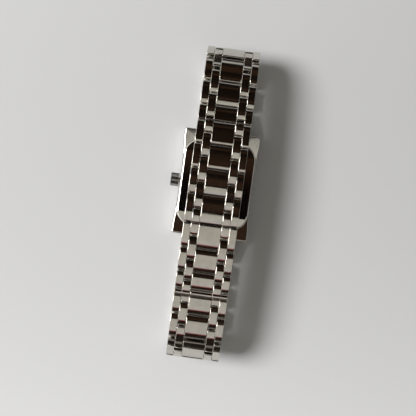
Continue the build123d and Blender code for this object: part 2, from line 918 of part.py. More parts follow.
outer_hinge_z = base_top + clasp_layer_gap / 2


def arc_angle(length):
    """The angle on the clasp's arc at this length from the 6 o'clock cut."""
    return length / clasp_radius - clasp_half_angle


def arc_point(length, z):
    angle = arc_angle(length)
    radius = clasp_radius + z
    return radius * math.sin(angle), radius * math.cos(angle) - clasp_radius


def on_arc(length, z=0):
    x, height = arc_point(length, z)
    return Location((x, 0, height), (0, math.degrees(arc_angle(length)), 0))


def arc_strip(start, end, low, high, width):
    """A bent strip between two lengths along the arc and two heights over it, straight in each row."""
    stops = [start] + [bend for bend in row_stops if start < bend < end] + [end]
    points = [arc_point(stop, high) for stop in stops]
    points += [arc_point(stop, low) for stop in stops[::-1]]
    return across(make_face(Polyline(*points, close=True)), width)


def clasp_piece(start, end, column):
    """A link piece on the arc, domed to both ends, or too long where the clasp line cuts it straight."""
    half = (end - start - junction_gap) / 2
    back = -half - (dome_length if start == clasp_line else 0)
    front = half + (dome_length if end == clasp_line else 0)
    piece = across(domed_profile(back, front), column_widths[column], column_places[column])
    return on_arc((start + end) / 2) * piece


def clasp_rows(start, end, stops):
    """The link pieces of a rigid part of the clasp between two lengths, its rows ending at the stops."""
    pieces = []
    for near, far in zip(stops, stops[1:]):
        for column in (0, 2, 4):
            pieces.append(clasp_piece(near, far, column))
    middles = [(near + far) / 2 for near, far in zip(stops, stops[1:])]
    middles = [2 * start - middles[0]] + middles + [2 * end - middles[-1]]
    for near, far in zip(middles, middles[1:]):
        for column in (1, 3):
            pieces.append(clasp_piece(near, far, column))
    window = arc_strip(start, end, cover_under, half_thickness * 2, 2 * bracelet_width)
    return [piece & window for piece in pieces]


def clasp_pin(length, z, half_width):
    return on_arc(length, z) * across(pin_outline(clasp_pin_radius, 0), 2 * half_width)


def clasp_bore(length, z, half_width):
    outline = pin_outline(clasp_pin_radius + pin_clearance, 0, inside=True)
    return on_arc(length, z) * across(outline, 2 * half_width)


def knuckle(radius, length, z, half_width, inner=0):
    """A round knuckle across the clasp, or with inner the two outer ones."""
    barrel = across(Circle(radius), 2 * half_width)
    if inner:
        barrel -= across(Rectangle(4 * radius, 4 * radius), 2 * inner)
    return on_arc(length, z) * barrel


inner_hinge_length = (base_rows + 0.5) * clasp_pitch
outer_hinge_length = clasp_arc - clasp_pitch / 2
arm_half = arm_width / 2
knuckle_half = arm_half + knuckle_reach
cut_knuckle_half = centre_width / 2 - side_gap


def cut_hinge_cutter(half_width, inner=0):
    """What one side of the 6 o'clock cut gives way to the other side's knuckle."""
    room = cut_knuckle_radius + knuckle_clearance
    return knuckle(room, 0, -cut_knuckle_drop, half_width, inner)


def make_cover():
    start = clasp_line + cut_gap / 2
    end = clasp_arc - cut_gap / 2
    web_top = cover_under + cover_web + junction_gap
    cover = arc_strip(start, end, cover_under, web_top, bracelet_width)
    for piece in clasp_rows(start, end, row_stops[base_rows:]):
        cover += piece
    cover += knuckle(
        knuckle_radius, inner_hinge_length, inner_hinge_z, knuckle_half, arm_half + side_gap
    )
    room = knuckle_radius + knuckle_clearance
    pocket = knuckle(room, inner_hinge_length, inner_hinge_z, arm_half + knuckle_side_gap)
    cover -= pocket
    cover += clasp_pin(inner_hinge_length, inner_hinge_z, knuckle_half)
    socket_radius = catch_post_radius + pin_clearance * 2
    for place in catch_places():
        socket = prism(socket_radius, 2 * catch_engagement, 0, 0, place, inside=True)
        cover -= on_arc(catch_length(), cover_under - catch_engagement) * socket
    return cover


def catch_length():
    return inner_hinge_length + clasp_pitch / 2


def catch_places():
    place = base_plate_width / 2 - catch_post_inset
    return place, -place


def slanted_cutter():
    """What the base gives way below its hinge at the 6 o'clock cut, as the short row does."""
    high = -cut_knuckle_drop
    low = -link_thickness
    near = cut_setback
    far = near + (high - low) * inner_taper / (half_thickness - cut_knuckle_drop)
    return make_face(Polyline((-far, high), (near, high), (far, low), (-far, low), close=True))


def make_base():
    """The clasp's base: three rows of links, and the curved plate that reaches under the cover."""
    start = cut_setback
    end = clasp_line - cut_gap / 2
    web_top = cover_under + cover_web + junction_gap
    base = arc_strip(start, end, -half_thickness, web_top, bracelet_width)
    base -= on_arc(0) * across(slanted_cutter(), 2 * bracelet_width)
    for piece in clasp_rows(start, end, [start] + row_stops[1 : base_rows + 1]):
        base += piece
    root = base_root_share * clasp_line
    base += arc_strip(root, end, base_low, base_top + base_plate_thickness, base_plate_width)
    base += arc_strip(root, outer_hinge_length, base_low, base_top, base_plate_width)
    base += knuckle(
        knuckle_radius, outer_hinge_length, outer_hinge_z, knuckle_half, arm_half + side_gap
    )
    room = knuckle_radius + knuckle_clearance
    base -= knuckle(room, outer_hinge_length, outer_hinge_z, arm_half + knuckle_side_gap)
    base += clasp_pin(outer_hinge_length, outer_hinge_z, knuckle_half)
    post_height = cover_under + catch_engagement - clasp_layer_gap - base_top + post_root
    for place in catch_places():
        post = prism(catch_post_radius, post_height, 0, 0, place)
        base += on_arc(catch_length(), base_top - post_root) * post
    base -= cut_hinge_cutter(cut_knuckle_half + knuckle_side_gap)
    side_knuckles = cut_knuckle_half + knuckle_side_gap
    base += knuckle(
        cut_knuckle_radius, 0, -cut_knuckle_drop, bracelet_width / 2, side_knuckles
    )
    base += clasp_pin(0, -cut_knuckle_drop, bracelet_width / 2)
    return base


def make_arm():
    """The folding arm, hinged to the base at its 12 o'clock end and to the cover at its inner end."""
    arm = arc_strip(inner_hinge_length, outer_hinge_length, arm_low, arm_top, arm_width)
    for length, z in (
        (inner_hinge_length, inner_hinge_z),
        (outer_hinge_length, outer_hinge_z),
    ):
        arm += knuckle(knuckle_radius, length, z, arm_half)
    arm -= clasp_bore(inner_hinge_length, inner_hinge_z, arm_half)
    return arm - clasp_bore(outer_hinge_length, outer_hinge_z, arm_half)


def make_short_6():
    """The short row at 6, with the middle knuckle of the hinge that carries the clasp's base."""
    frame = chain_6[-1][0]
    row = make_short_row(short_reach_6 - cut_setback, stub_drop).moved(frame.location)
    give_way = cut_hinge_cutter(bracelet_width, cut_knuckle_half).moved(clasp_plane.location)
    middle = knuckle(cut_knuckle_radius, 0, -cut_knuckle_drop, cut_knuckle_half)
    bore = clasp_bore(0, -cut_knuckle_drop, bracelet_width)
    row = row - give_way
    row += middle.moved(clasp_plane.location)
    return row - bore.moved(clasp_plane.location)


def make_spring_bars():
    bars = []
    for end in (1, -1):
        length = lug_gap - 2 * side_gap
        bar = rod(spring_bar_radius, length, -length / 2, end * lug_pin_y, lug_pin_z)
        reach = length + 2 * spring_bar_tip_reach
        bar += bar_end(spring_bar_tip_radius, reach, -reach / 2, end * lug_pin_y)
        bars.append(bar)
    return Compound(bars)


def save_chain(name, frames, reach, last_body):
    """Writes the end link, then pairs and rows in turn, then the short row of one half."""
    save(make_end_link(reach).moved(frames[0][0].location), name + "_end_link")
    for number, (frame, heading, hinge) in enumerate(frames[1:-1], 1):
        middle = frame.location * Pos(half_pitch / 2, 0, 0)
        if number % 2:
            pieces = [piece.moved(middle) for piece in make_pair()]
            save(Compound(pieces), name + "_pair_" + str((number + 1) // 2))
        else:
            row = make_row(-piece_end, piece_end, domed_profile, (-half_pitch / 2, half_pitch / 2))
            save(row.moved(middle), name + "_row_" + str(number // 2))
    save(last_body, name + "_short_row")


os.makedirs("parts", exist_ok=True)
save(make_mid_case(), "mid_case")
save(make_case_back(), "case_back")
save(make_back_gasket(), "case_back_gasket")
save(make_crystal(), "crystal")
save(make_crystal_gasket(), "crystal_gasket")
save(make_dial(), "dial")
save(make_markers(), "hour_markers")
save(make_hour_hand(), "hour_hand")
save(make_minute_hand(), "minute_hand")
save(make_seconds_hand(), "seconds_hand")
save(make_third_wheel(), "third_wheel")
save(make_rotor(), "motor_rotor")
save(make_stator(), "motor_stator")
save(make_coil(), "motor_coil")
save(make_main_plate(), "main_plate")
save(make_holder(), "movement_holder")
save(make_board(), "circuit_board")
save(make_battery(), "battery")
save(make_clamp(), "battery_clamp")
save(make_bridge(), "train_bridge")
save(make_crown(), "crown")
save(make_crown_tube(), "crown_tube")
save(make_stem(), "winding_stem")
save(make_lever(), "setting_lever")
save(make_spring_bars(), "spring_bars")
short_12 = make_short_row(short_reach_12 - cut_gap / 2).moved(chain_12[-1][0].location)
save_chain("upper", chain_12, end_link_reach_12, short_12)
save_chain("lower", chain_6, end_link_reach_6, make_short_6())
save(make_base().moved(clasp_plane.location), "clasp_base")
save(make_arm().moved(clasp_plane.location), "clasp_arm")
save(make_cover().moved(clasp_plane.location), "clasp_cover")
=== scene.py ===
import json
import math

import bmesh
import bpy
from mathutils import Matrix, Vector


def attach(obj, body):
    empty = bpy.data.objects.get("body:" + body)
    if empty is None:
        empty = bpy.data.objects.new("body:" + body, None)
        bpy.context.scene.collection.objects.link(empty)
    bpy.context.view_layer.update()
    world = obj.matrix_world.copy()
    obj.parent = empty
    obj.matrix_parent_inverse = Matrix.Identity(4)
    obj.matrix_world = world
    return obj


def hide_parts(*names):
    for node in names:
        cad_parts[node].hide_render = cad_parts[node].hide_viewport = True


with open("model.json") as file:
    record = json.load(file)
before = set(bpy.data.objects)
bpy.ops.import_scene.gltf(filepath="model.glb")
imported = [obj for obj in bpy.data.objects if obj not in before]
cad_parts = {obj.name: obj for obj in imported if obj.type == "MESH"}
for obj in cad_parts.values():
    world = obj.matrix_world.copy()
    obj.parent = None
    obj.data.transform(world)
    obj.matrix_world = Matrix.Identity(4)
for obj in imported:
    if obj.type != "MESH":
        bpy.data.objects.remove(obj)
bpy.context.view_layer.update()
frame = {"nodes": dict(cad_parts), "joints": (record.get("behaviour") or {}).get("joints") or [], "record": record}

# A rectangular wristwatch that lies dial down, with its five-column bracelet closed over its back.
# Pieces are shaped in millimetres, a link's in the frame of its own hinge, and placed in metres.
# NEAR tells places apart, and PAST is how far a cutter reaches past what it cuts.
MM = 0.001
X_AXIS = Vector((1, 0, 0))
Y_AXIS = Vector((0, 1, 0))
IN_PLACE = Matrix.Identity(4)
QUARTER_TURN = Matrix.Rotation(math.pi / 2, 4, "Y")
WELD_DISTANCE = 0.0005
NEAR = 0.01
PAST = 2
BEVEL = {"affect": "EDGES", "profile": 0.5, "material": -1}

# Bracelet, as in the model's source
LINK_PITCH = 7.2
THICK = 2.9
TOP = THICK / 2
CENTRE_WIDTH = 6.6
SLOT_WIDTH = 2.5
OUTER_WIDTH = 2.2
SIDE_GAP = 0.05
JUNCTION_GAP = 0.12
FINGER_ROOT = 0.8
TAPER = 0.9
PIN_SPACING = LINK_PITCH / 2
PIECE_END = (LINK_PITCH - JUNCTION_GAP) / 2
PIN_TO_END = PIECE_END - PIN_SPACING / 2
BRACELET_WIDTH = CENTRE_WIDTH + 2 * (SLOT_WIDTH + OUTER_WIDTH)
OUTER_PLACE = (CENTRE_WIDTH + OUTER_WIDTH) / 2 + SLOT_WIDTH
SLOT_PLACE = (CENTRE_WIDTH + SLOT_WIDTH) / 2
SLOT_PIECE_WIDTH = SLOT_WIDTH - 2 * SIDE_GAP
ROW_COLUMNS = ((CENTRE_WIDTH, 0), (OUTER_WIDTH, OUTER_PLACE), (OUTER_WIDTH, -OUTER_PLACE))
SLOT_PLACES = (SLOT_PLACE, -SLOT_PLACE)
END_LINK_REACH = {"upper": 7.15, "lower": 7.45}
SHORT_REACH = {"upper": 2.9, "lower": 4.6}

# Domed ends of a link's pieces
DOME_RADIUS = 9.0
DOME_TURN = math.radians(17)
DOME_STEPS = 8
DOME_ROOM_SHARE = 0.97
TIP_RADIUS = 0.4
TIP_STEPS = 6
BOTH_DOMED = ("domed", "domed")
EVEN_DOMES = (DOME_RADIUS, DOME_RADIUS)

# Pins and broken edges
PIN_RADIUS = 0.4
INNER_PIN_RADIUS = PIN_RADIUS * 0.9
INNER_PIN_SIDES = 12
PIN_HEAD_SIDES = 24
PIN_HEAD_DEPTH = 0.3
PIN_HEAD_RISE = 0.03
EDGE_BREAK = 0.13
ROD_BREAK_SHARE = 0.12
BLOCK_EDGE_BREAK = 0.18
BLOCK_ROUND_STEPS = 16

# Clasp: three rows on the base, then four on the cover, counted from the 6 o'clock cut. Their
# ends are given as shares of its length, their domes as the radii towards 6 and 12 o'clock,
# and their tilts in degrees.
CLASP_RADIUS = 246.3
COVER_ROWS = 4
BASE_ROWS = 3
ROW_SHARES = (0, 0.126, 0.262, 0.406, 0.573, 0.721, 0.863, 1)
ROW_DOMES = (
    (9.0, 5.5),
    (9.0, 5.5),
    (9.0, 9.0),
    (11.5, 9.0),
    (9.0, 9.0),
    (3.0, 9.0),
    (2.5, 9.0),
)
ROW_TILTS = (0, 0, -1.5, 1.8, 0.9, 0.4, 0.4)
ROW_SINK = 0.04
ROW_ARCH = 110.0
ARCH_STEPS = 10
CUT_GAP = 0.15
COVER_UNDER = -0.6
WEB_TOP = 0.15
WEB_WIDTH = BRACELET_WIDTH - 0.02
ARM_TOP = -0.75
ARM_LOW = -1.55
BASE_TOP = -1.7
BASE_LOW = -2.5
PLATE_WIDTH = 15.4
PLATE_LAP = 0.2
ARM_WIDTH = 8.0
STRIP_EDGE_BREAK = 0.12
STRIP_BENDS = 16
KNUCKLE_RADIUS = 0.8
KNUCKLE_REACH = 2.4
KNUCKLE_SIDES = 28
INNER_HINGE_Z = COVER_UNDER - KNUCKLE_RADIUS / 4
OUTER_HINGE_Z = BASE_TOP + 0.075
CUT_KNUCKLE_RADIUS = 1.4
CUT_KNUCKLE_DROP = 0.15
CUT_KNUCKLE_GAP = 0.15
CUT_SETBACK = 1.15
STUB_DROP = 0.9
STUB_OVERHANG = 0.3
POST_INSET = 0.75
POST_RADIUS = 0.4
POST_TIP_RADIUS = 0.36
POST_LENGTH = 1.5
POST_Z = -1.2
POST_SIDES = 20

# Case. Sizes are width on X and length on Y, and the crystal's edges its inner and outer one.
CASE_WIDTH = 23.6
CASE_LENGTH = 33.0
CASE_CORNER = 0.7
BEZEL_Z = 0.35
BACK_FACE_Z = 6.0
NOTCH_WIDTH = 16.2
NOTCH_DEPTH = 2.9
END_BEVEL = 0.5
FLAT_BACK_Y = 9.57
LUG_RISE = 0.5
WAIST_DEPTH = 0.6
WAIST_Y = 13.5
WAIST_STEPS = 9
CRYSTAL_SIZE = (18.6, 24.2)
CRYSTAL_TOP = 1.2
CRYSTAL_EDGES = (0.02, 0.25)
SEAT_SIZE = (19.3, 24.9)
WINDOW_SIZE = (18.3, 23.6)
WINDOW_TOP = 2.3
WINDOW_CORNER = 1.2
ROOM_SIZE = (20.0, 25.0)
ROOM_FLOOR_Z = 2.2
ROOM_CORNER = 2.6
RECESS_SIZE = (22.3, 27.1)
RECESS_CORNER = 5.05
BACK_SIZE = (22.2, 27.0)
BACK_CORNER = 5.0
BACK_TOP = 7.3
BACK_EDGE = 0.6
BACK_END_DROP = 0.45
CASE_SMOOTH_ANGLE = 35
LEVEL = 0.9
UPRIGHT = 0.2

# Crown, on the side of -X, and the bore for its stem
STEM_Z = 3.9
STEM_BORE = 0.96
STEM_BORE_REACH = 6
BORE_SIDES = 40
CROWN_ROOT = (-11.65, 0, STEM_Z)
CROWN_RADIUS = 2.05
CROWN_LENGTH = 2.4
CROWN_FLUTES = 22
FLUTE_SHARE = 0.93
CROWN_FACE_INSET = 0.3
CROWN_FACE_RISE = 0.12
CROWN_BORE = 1.02
CROWN_BORE_REACH = 2.7
CROWN_SMOOTH_ANGLE = 40

# Surface of steel: hairline scratches, brushed lines and worn patches
HAIR_GRAIN = (1200, 26000, 1200)
HAIR_TURN = (0, 0, 0.5)
HAIR_ROUGHNESS = 0.12
HAIR_DEPTH = 0.6
LINE_SHARE = 0.55
WORN_SHARE = 0.45
WORN_TINT_SHARE = 0.9

# Sockets of a Mix node that mixes colours
MIX_FACTOR = 0
MIX_FIRST = 6
MIX_SECOND = 7
MIX_RESULT = 2


class Wire:
    """One output of a material's nodes, which takes part in sums as a number does."""

    def __init__(self, tree, socket):
        self.tree = tree
        self.socket = socket

    def math(self, operation, *others):
        values = dict(enumerate((self,) + others))
        return add_node(self.tree, "ShaderNodeMath", {"operation": operation}, values)

    def __add__(self, other):
        return self.math("ADD", other)

    def __radd__(self, other):
        return self.math("ADD", other)

    def __sub__(self, other):
        return self.math("SUBTRACT", other)

    def __rsub__(self, other):
        values = {0: other, 1: self}
        return add_node(self.tree, "ShaderNodeMath", {"operation": "SUBTRACT"}, values)

    def __mul__(self, other):
        return self.math("MULTIPLY", other)

    def __rmul__(self, other):
        return self.math("MULTIPLY", other)

    def __truediv__(self, other):
        return self.math("DIVIDE", other)

    def clamped(self, low=0.0, high=1.0):
        return self.math("MAXIMUM", low).math("MINIMUM", high)

    def between(self, start, end):
        """0 below start and 1 above end, with a smooth step between."""
        settings = {"interpolation_type": "SMOOTHSTEP"}
        values = {"Value": self, "From Min": start, "From Max": end}
        return add_node(self.tree, "ShaderNodeMapRange", settings, values)


def plug(tree, node, name, value):
    """Links a Wire to a socket of a node, or sets the socket to a plain value."""
    if isinstance(value, Wire):
        tree.links.new(value.socket, node.inputs[name])
    else:
        node.inputs[name].default_value = value


def set_stops(elements, stops):
    """Sets a colour ramp to these stops, each a place from 0 to 1 and a colour."""
    while len(elements) < len(stops):
        elements.new(1.0)
    for element, (place, colour) in zip(elements, stops):
        element.position = place
        element.color = colour


def add_node(tree, kind, settings=None, values=None, output=0):
    """A node with its settings, a ramp's stops among them, and its sockets' values or links."""
    node = tree.nodes.new(kind)
    for name, value in (settings or {}).items():
        if name == "stops":
            set_stops(node.color_ramp.elements, value)
        else:
            setattr(node, name, value)
    for name, value in (values or {}).items():
        plug(tree, node, name, value)
    return Wire(tree, node.outputs[output])


def mix_colours(tree, amount, first, second):
    values = {MIX_FACTOR: amount, MIX_FIRST: first, MIX_SECOND: second}
    return add_node(tree, "ShaderNodeMix", {"data_type": "RGBA"}, values, MIX_RESULT)


def split_axes(tree, vector):
    """The X, Y and Z of a vector, each as a Wire."""
    first = add_node(tree, "ShaderNodeSeparateXYZ", None, {0: vector})
    return [Wire(tree, socket) for socket in first.socket.node.outputs]


def object_place(tree):
    return add_node(tree, "ShaderNodeTexCoord", output="Object")


def stretched(tree, scale, turn=(0, 0, 0)):
    """Object coordinates turned and scaled, for a pattern that runs one way."""
    values = {"Vector": object_place(tree), "Scale": scale, "Rotation": turn}
    return add_node(tree, "ShaderNodeMapping", {"vector_type": "POINT"}, values)


def noise(tree, place, scale, detail=3.0, roughness=0.5):
    values = {"Vector": place, "Scale": scale, "Detail": detail, "Roughness": roughness}
    return add_node(tree, "ShaderNodeTexNoise", None, values, "Fac")


def bump(tree, height, strength, distance):
    values = {"Height": height, "Strength": strength, "Distance": distance}
    return add_node(tree, "ShaderNodeBump", None, values, "Normal")


def new_material(name):
    material = bpy.data.materials.new(name)
    material.use_nodes = True
    tree = material.node_tree
    return material, tree, tree.nodes["Principled BSDF"]


def dress_shader(tree, shader, values):
    for name, value in values.items():
        plug(tree, shader, name, value)


def steel(name, tint, smooth, rough, grain=(9000, 400, 9000)):
    """Polished or brushed steel: fine lines one way, hairline scratches and worn patches."""
    material, tree, shader = new_material(name)
    lines = noise(tree, stretched(tree, grain), scale=1.0, detail=4.0, roughness=0.6)
    crossing = stretched(tree, HAIR_GRAIN, HAIR_TURN)
    hairs = noise(tree, crossing, scale=1.0, detail=2.0).between(0.68, 0.74)
    patches = noise(tree, object_place(tree), scale=260.0, detail=4.0, roughness=0.6)
    worn = patches.between(0.35, 0.7)
    worn_tint = tuple(channel * WORN_TINT_SHARE for channel in tint[:3]) + (1.0,)
    uneven = LINE_SHARE * lines + WORN_SHARE * worn
    spread = smooth + (rough - smooth) * uneven + HAIR_ROUGHNESS * hairs
    values = {
        "Base Color": mix_colours(tree, worn, tint, worn_tint),
        "Metallic": 1.0,
        "Roughness": spread.clamped(0.02, 1.0),
        "Normal": bump(tree, lines + HAIR_DEPTH * hairs, strength=0.05, distance=0.00002),
    }
    dress_shader(tree, shader, values)
    return material


def moulded(name, colour, second, roughness):
    """A moulded surface: two close tones, and a fine uneven sheen."""
    material, tree, shader = new_material(name)
    grain = noise(tree, object_place(tree), scale=700.0, detail=5.0, roughness=0.6)
    mottle = grain.between(0.3, 0.7)
    values = {
        "Base Color": mix_colours(tree, mottle, colour, second),
        "Metallic": 0.0,
        "Roughness": (roughness + 0.15 * mottle).clamped(),
        "Normal": bump(tree, grain, strength=0.1, distance=0.00003),
    }
    dress_shader(tree, shader, values)
    return material


def dial_finish():
    """Silvered dial with rays brushed out from its middle."""
    material, tree, shader = new_material("dial silvered")
    x, y, _ = split_axes(tree, object_place(tree))
    angle = y.math("ARCTAN2", x)
    values = {"W": angle * 40.0, "Scale": 6.0}
    rays = add_node(tree, "ShaderNodeTexNoise", {"noise_dimensions": "1D"}, values)
    shade = rays.between(0.3, 0.7)
    values = {
        "Base Color": mix_colours(tree, shade, (0.80, 0.79, 0.76, 1), (0.68, 0.67, 0.64, 1)),
        "Metallic": 0.6,
        "Roughness": 0.3 + 0.15 * shade,
        "Normal": bump(tree, rays, strength=0.08, distance=0.00002),
    }
    dress_shader(tree, shader, values)
    return material


def glass_finish():
    """Clear crystal with a few faint smudges."""
    material, tree, shader = new_material("crystal glass")
    smudge = noise(tree, object_place(tree), scale=180.0).between(0.45, 0.75)
    values = {
        "Base Color": (0.96, 0.98, 0.98, 1),
        "Roughness": 0.01 + 0.05 * smudge,
        "Transmission Weight": 1.0,
        "IOR": 1.7,
    }
    dress_shader(tree, shader, values)
    return material


def coil_finish():
    """Copper wire wound round the coil's core."""
    material, tree, shader = new_material("coil winding")
    settings = {"wave_type": "BANDS", "bands_direction": "X"}
    values = {"Vector": object_place(tree), "Scale": 2500.0}
    turns = add_node(tree, "ShaderNodeTexWave", settings, values, "Fac")
    values = {
        "Base Color": mix_colours(tree, turns, (0.45, 0.17, 0.07, 1), (0.80, 0.40, 0.20, 1)),
        "Metallic": 1.0,
        "Roughness": 0.3 + 0.2 * turns,
        "Normal": bump(tree, turns, strength=0.4, distance=0.00005),
    }
    dress_shader(tree, shader, values)
    return material


def circuit_finish():
    """Green board with copper tracks."""
    material, tree, shader = new_material("circuit tracks")
    settings = {"distance": "CHEBYCHEV", "feature": "F1"}
    values = {"Vector": object_place(tree), "Scale": 900.0}
    cells = add_node(tree, "ShaderNodeTexVoronoi", settings, values, "Distance")
    track = cells.between(0.42, 0.46)
    values = {
        "Base Color": mix_colours(tree, track, (0.03, 0.14, 0.07, 1), (0.70, 0.42, 0.18, 1)),
        "Metallic": track,
        "Roughness": 0.45 - 0.15 * track,
    }
    dress_shader(tree, shader, values)
    return material


# The numbers after a steel's tint are the roughness where it is smoothest and roughest.
FINISHES = {
    "bracelet_steel": steel("bracelet steel", (0.62, 0.59, 0.54, 1), 0.05, 0.13),
    "clasp_steel": steel("clasp steel", (0.62, 0.59, 0.54, 1), 0.05, 0.13),
    "blade_steel": steel("clasp blade steel", (0.58, 0.55, 0.51, 1), 0.18, 0.34),
    "case_steel": steel("case steel", (0.64, 0.62, 0.58, 1), 0.05, 0.13),
    "back_steel": steel("case back steel", (0.62, 0.60, 0.55, 1), 0.03, 0.08),
    # The crown's steel is painted darker than the case's steel: painted shade
    "crown_steel": steel("crown steel painted darker", (0.40, 0.395, 0.385, 1), 0.08, 0.18),
    "seal": moulded("seal rubber", (0.02, 0.02, 0.02, 1), (0.035, 0.035, 0.035, 1), 0.6),
    "crystal": glass_finish(),
    "dial": dial_finish(),
    "hands": steel("hand steel", (0.70, 0.70, 0.70, 1), 0.08, 0.18),
    "movement_metal": steel(
        "movement brass", (0.72, 0.60, 0.36, 1), 0.22, 0.38, grain=(5000, 5000, 400)
    ),
    "holder_plastic": moulded(
        "holder plastic", (0.75, 0.75, 0.72, 1), (0.68, 0.68, 0.65, 1), 0.45
    ),
    "circuit_board": circuit_finish(),
    "coil_copper": coil_finish(),
    "battery_steel": steel("battery can", (0.66, 0.66, 0.65, 1), 0.16, 0.30),
}


# Shapes


def finish_piece(bm, name, slot, body, nodes, place=IN_PLACE, finish=None, smooth_angle=50):
    """Turns a shape in millimetres into a piece in metres that rides on its body."""
    bmesh.ops.remove_doubles(bm, verts=bm.verts[:], dist=WELD_DISTANCE)
    bmesh.ops.recalc_face_normals(bm, faces=bm.faces[:])
    # That turns the crown's fluted knob inside out, so its faces are turned back.
    if bm.calc_volume(signed=True) < 0:
        bmesh.ops.reverse_faces(bm, faces=bm.faces[:])
    mesh = bpy.data.meshes.new(name)
    bm.to_mesh(mesh)
    bm.free()
    mesh.transform(place @ Matrix.Scale(MM, 4))
    mesh.materials.append(FINISHES[finish or slot])
    mesh.polygons.foreach_set("use_smooth", [True] * len(mesh.polygons))
    mesh.set_sharp_from_angle(angle=math.radians(smooth_angle))
    piece = bpy.data.objects.new(name, mesh)
    bpy.context.scene.collection.objects.link(piece)
    even = piece.modifiers.new("even faces", "WEIGHTED_NORMAL")
    even.keep_sharp = True
    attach(piece, body)
    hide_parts(*nodes)
    return piece


def faces_at(verts):
    return {face for vert in verts for face in vert.link_faces}


def spread_on(edge, axis):
    """How far apart an edge's two ends are along an axis."""
    start, end = (getattr(vert.co, axis) for vert in edge.verts)
    return abs(end - start)


def break_edges(bm, faces, width=EDGE_BREAK, segments=2, limit=50):
    """Rounds every edge among these faces that is sharper than the limit in degrees."""
    chosen = {edge for face in faces for edge in face.edges if len(edge.link_faces) == 2}
    steep = math.radians(limit)
    sharp = [edge for edge in bm.edges if edge in chosen and edge.calc_face_angle() > steep]
    bmesh.ops.bevel(
        bm, geom=sharp, offset=width, segments=segments, clamp_overlap=True, **BEVEL
    )


def extrude_by(bm, faces, step):
    """Extrudes these faces by a step, and gives the vertices that moved."""
    made = bmesh.ops.extrude_face_region(bm, geom=faces)["geom"]
    moved = [item for item in made if isinstance(item, bmesh.types.BMVert)]
    bmesh.ops.translate(bm, verts=moved, vec=step)
    return moved


def follow_chain(first):
    """The vertices of an open chain of edges, in order from its first one."""
    chain = [first]
    while True:
        following = [edge.other_vert(chain[-1]) for edge in chain[-1].link_edges]
        following = [vert for vert in following if vert not in chain]
        if not following:
            return chain
        chain.append(following[0])


def domed_corner(bm, end, facing, y, radius, room, tip):
    """The outline of a domed end, from the top down to its foremost edge or to its cut."""
    tip_reach = TIP_RADIUS * (1 - math.sin(DOME_TURN)) if tip else 0
    radius = min(radius, (DOME_ROOM_SHARE * room - tip_reach) / math.sin(DOME_TURN))
    start = end - facing * (radius * math.sin(DOME_TURN) + tip_reach)
    first = bm.verts.new((start, y, TOP))
    last = bmesh.ops.spin(
        bm,
        geom=[first],
        cent=(start, y, TOP - radius),
        axis=Y_AXIS,
        angle=facing * DOME_TURN,
        steps=DOME_STEPS,
    )["geom_last"]
    if tip:
        inward = Vector((-facing * math.sin(DOME_TURN), 0, -math.cos(DOME_TURN)))
        bmesh.ops.spin(
            bm,
            geom=last,
            cent=last[0].co + TIP_RADIUS * inward,
            axis=Y_AXIS,
            angle=facing * (math.pi / 2 - DOME_TURN),
            steps=TIP_STEPS,
        )
    return follow_chain(first)


def link_piece(bm, back, front, width, place, ends=BOTH_DOMED, top=TOP, radii=EVEN_DOMES):
    """One solid piece of a link. An end is domed, domed and then cut straight, or flat."""
    y = place - width / 2
    room = (front - back) / (1 if "flat" in ends else 2)
    corners = []
    for end, facing, kind, radius in zip((back, front), (-1, 1), ends, radii):
        if kind == "flat":
            side = [bm.verts.new((end, y, top))]
        else:
            side = domed_corner(bm, end, facing, y, radius, room, kind == "domed")
        inset = TAPER if kind == "domed" else 0
        side.append(bm.verts.new((end - facing * inset, y, -TOP)))
        corners.append(side)
    loop = corners[0][::-1] + corners[1]
    moved = extrude_by(bm, [bm.faces.new(loop)], (0, width, 0))
    break_edges(bm, faces_at(moved + loop))


def arch_top(bm, start, end):
    """Arches the top of a piece slightly along its length."""
    middle = (start + end) / 2
    for step in range(1, ARCH_STEPS):
        place = start + (end - start) * step / ARCH_STEPS
        geometry = bm.verts[:] + bm.edges[:] + bm.faces[:]
        bmesh.ops.bisect_plane(bm, geom=geometry, plane_co=(place, 0, 0), plane_no=X_AXIS)
    for vert in bm.verts:
        if vert.co.z > 0:
            vert.co.z -= (vert.co.x - middle) ** 2 / (2 * ROW_ARCH)


def cross_rod(bm, radius, x, z, start, end, sides):
    """A round rod or knuckle across the bracelet between two places on Y."""
    along_y = Matrix.Rotation(math.pi / 2, 4, "X")
    rod = bmesh.ops.create_cone(
        bm,
        cap_ends=True,
        segments=sides,
        radius1=radius,
        radius2=radius,
        depth=end - start,
        matrix=Matrix.Translation((x, (start + end) / 2, z)) @ along_y,
    )
    break_edges(bm, faces_at(rod["verts"]), radius * ROD_BREAK_SHARE, segments=1, limit=60)


def add_pin(bm, x):
    """A bracelet pin, and its two ends, which just show on the outer sides."""
    cross_rod(bm, INNER_PIN_RADIUS, x, 0, -OUTER_PLACE, OUTER_PLACE, INNER_PIN_SIDES)
    half = BRACELET_WIDTH / 2
    head = (half - PIN_HEAD_DEPTH, half + PIN_HEAD_RISE)
    for start, end in (head, (-head[1], -head[0])):
        cross_rod(bm, PIN_RADIUS, x, 0, start, end, PIN_HEAD_SIDES)


def row_shape():
    """Outer, centre and outer piece of a row, on their two pins."""
    bm = bmesh.new()
    for width, place in ROW_COLUMNS:
        link_piece(bm, -PIECE_END, PIECE_END, width, place)
    for x in (-PIN_SPACING / 2, PIN_SPACING / 2):
        add_pin(bm, x)
    return bm


def pair_shape():
    """The two intermediate pieces between one row and the next."""
    bm = bmesh.new()
    for place in SLOT_PLACES:
        link_piece(bm, -PIECE_END, PIECE_END, SLOT_PIECE_WIDTH, place)
    return bm


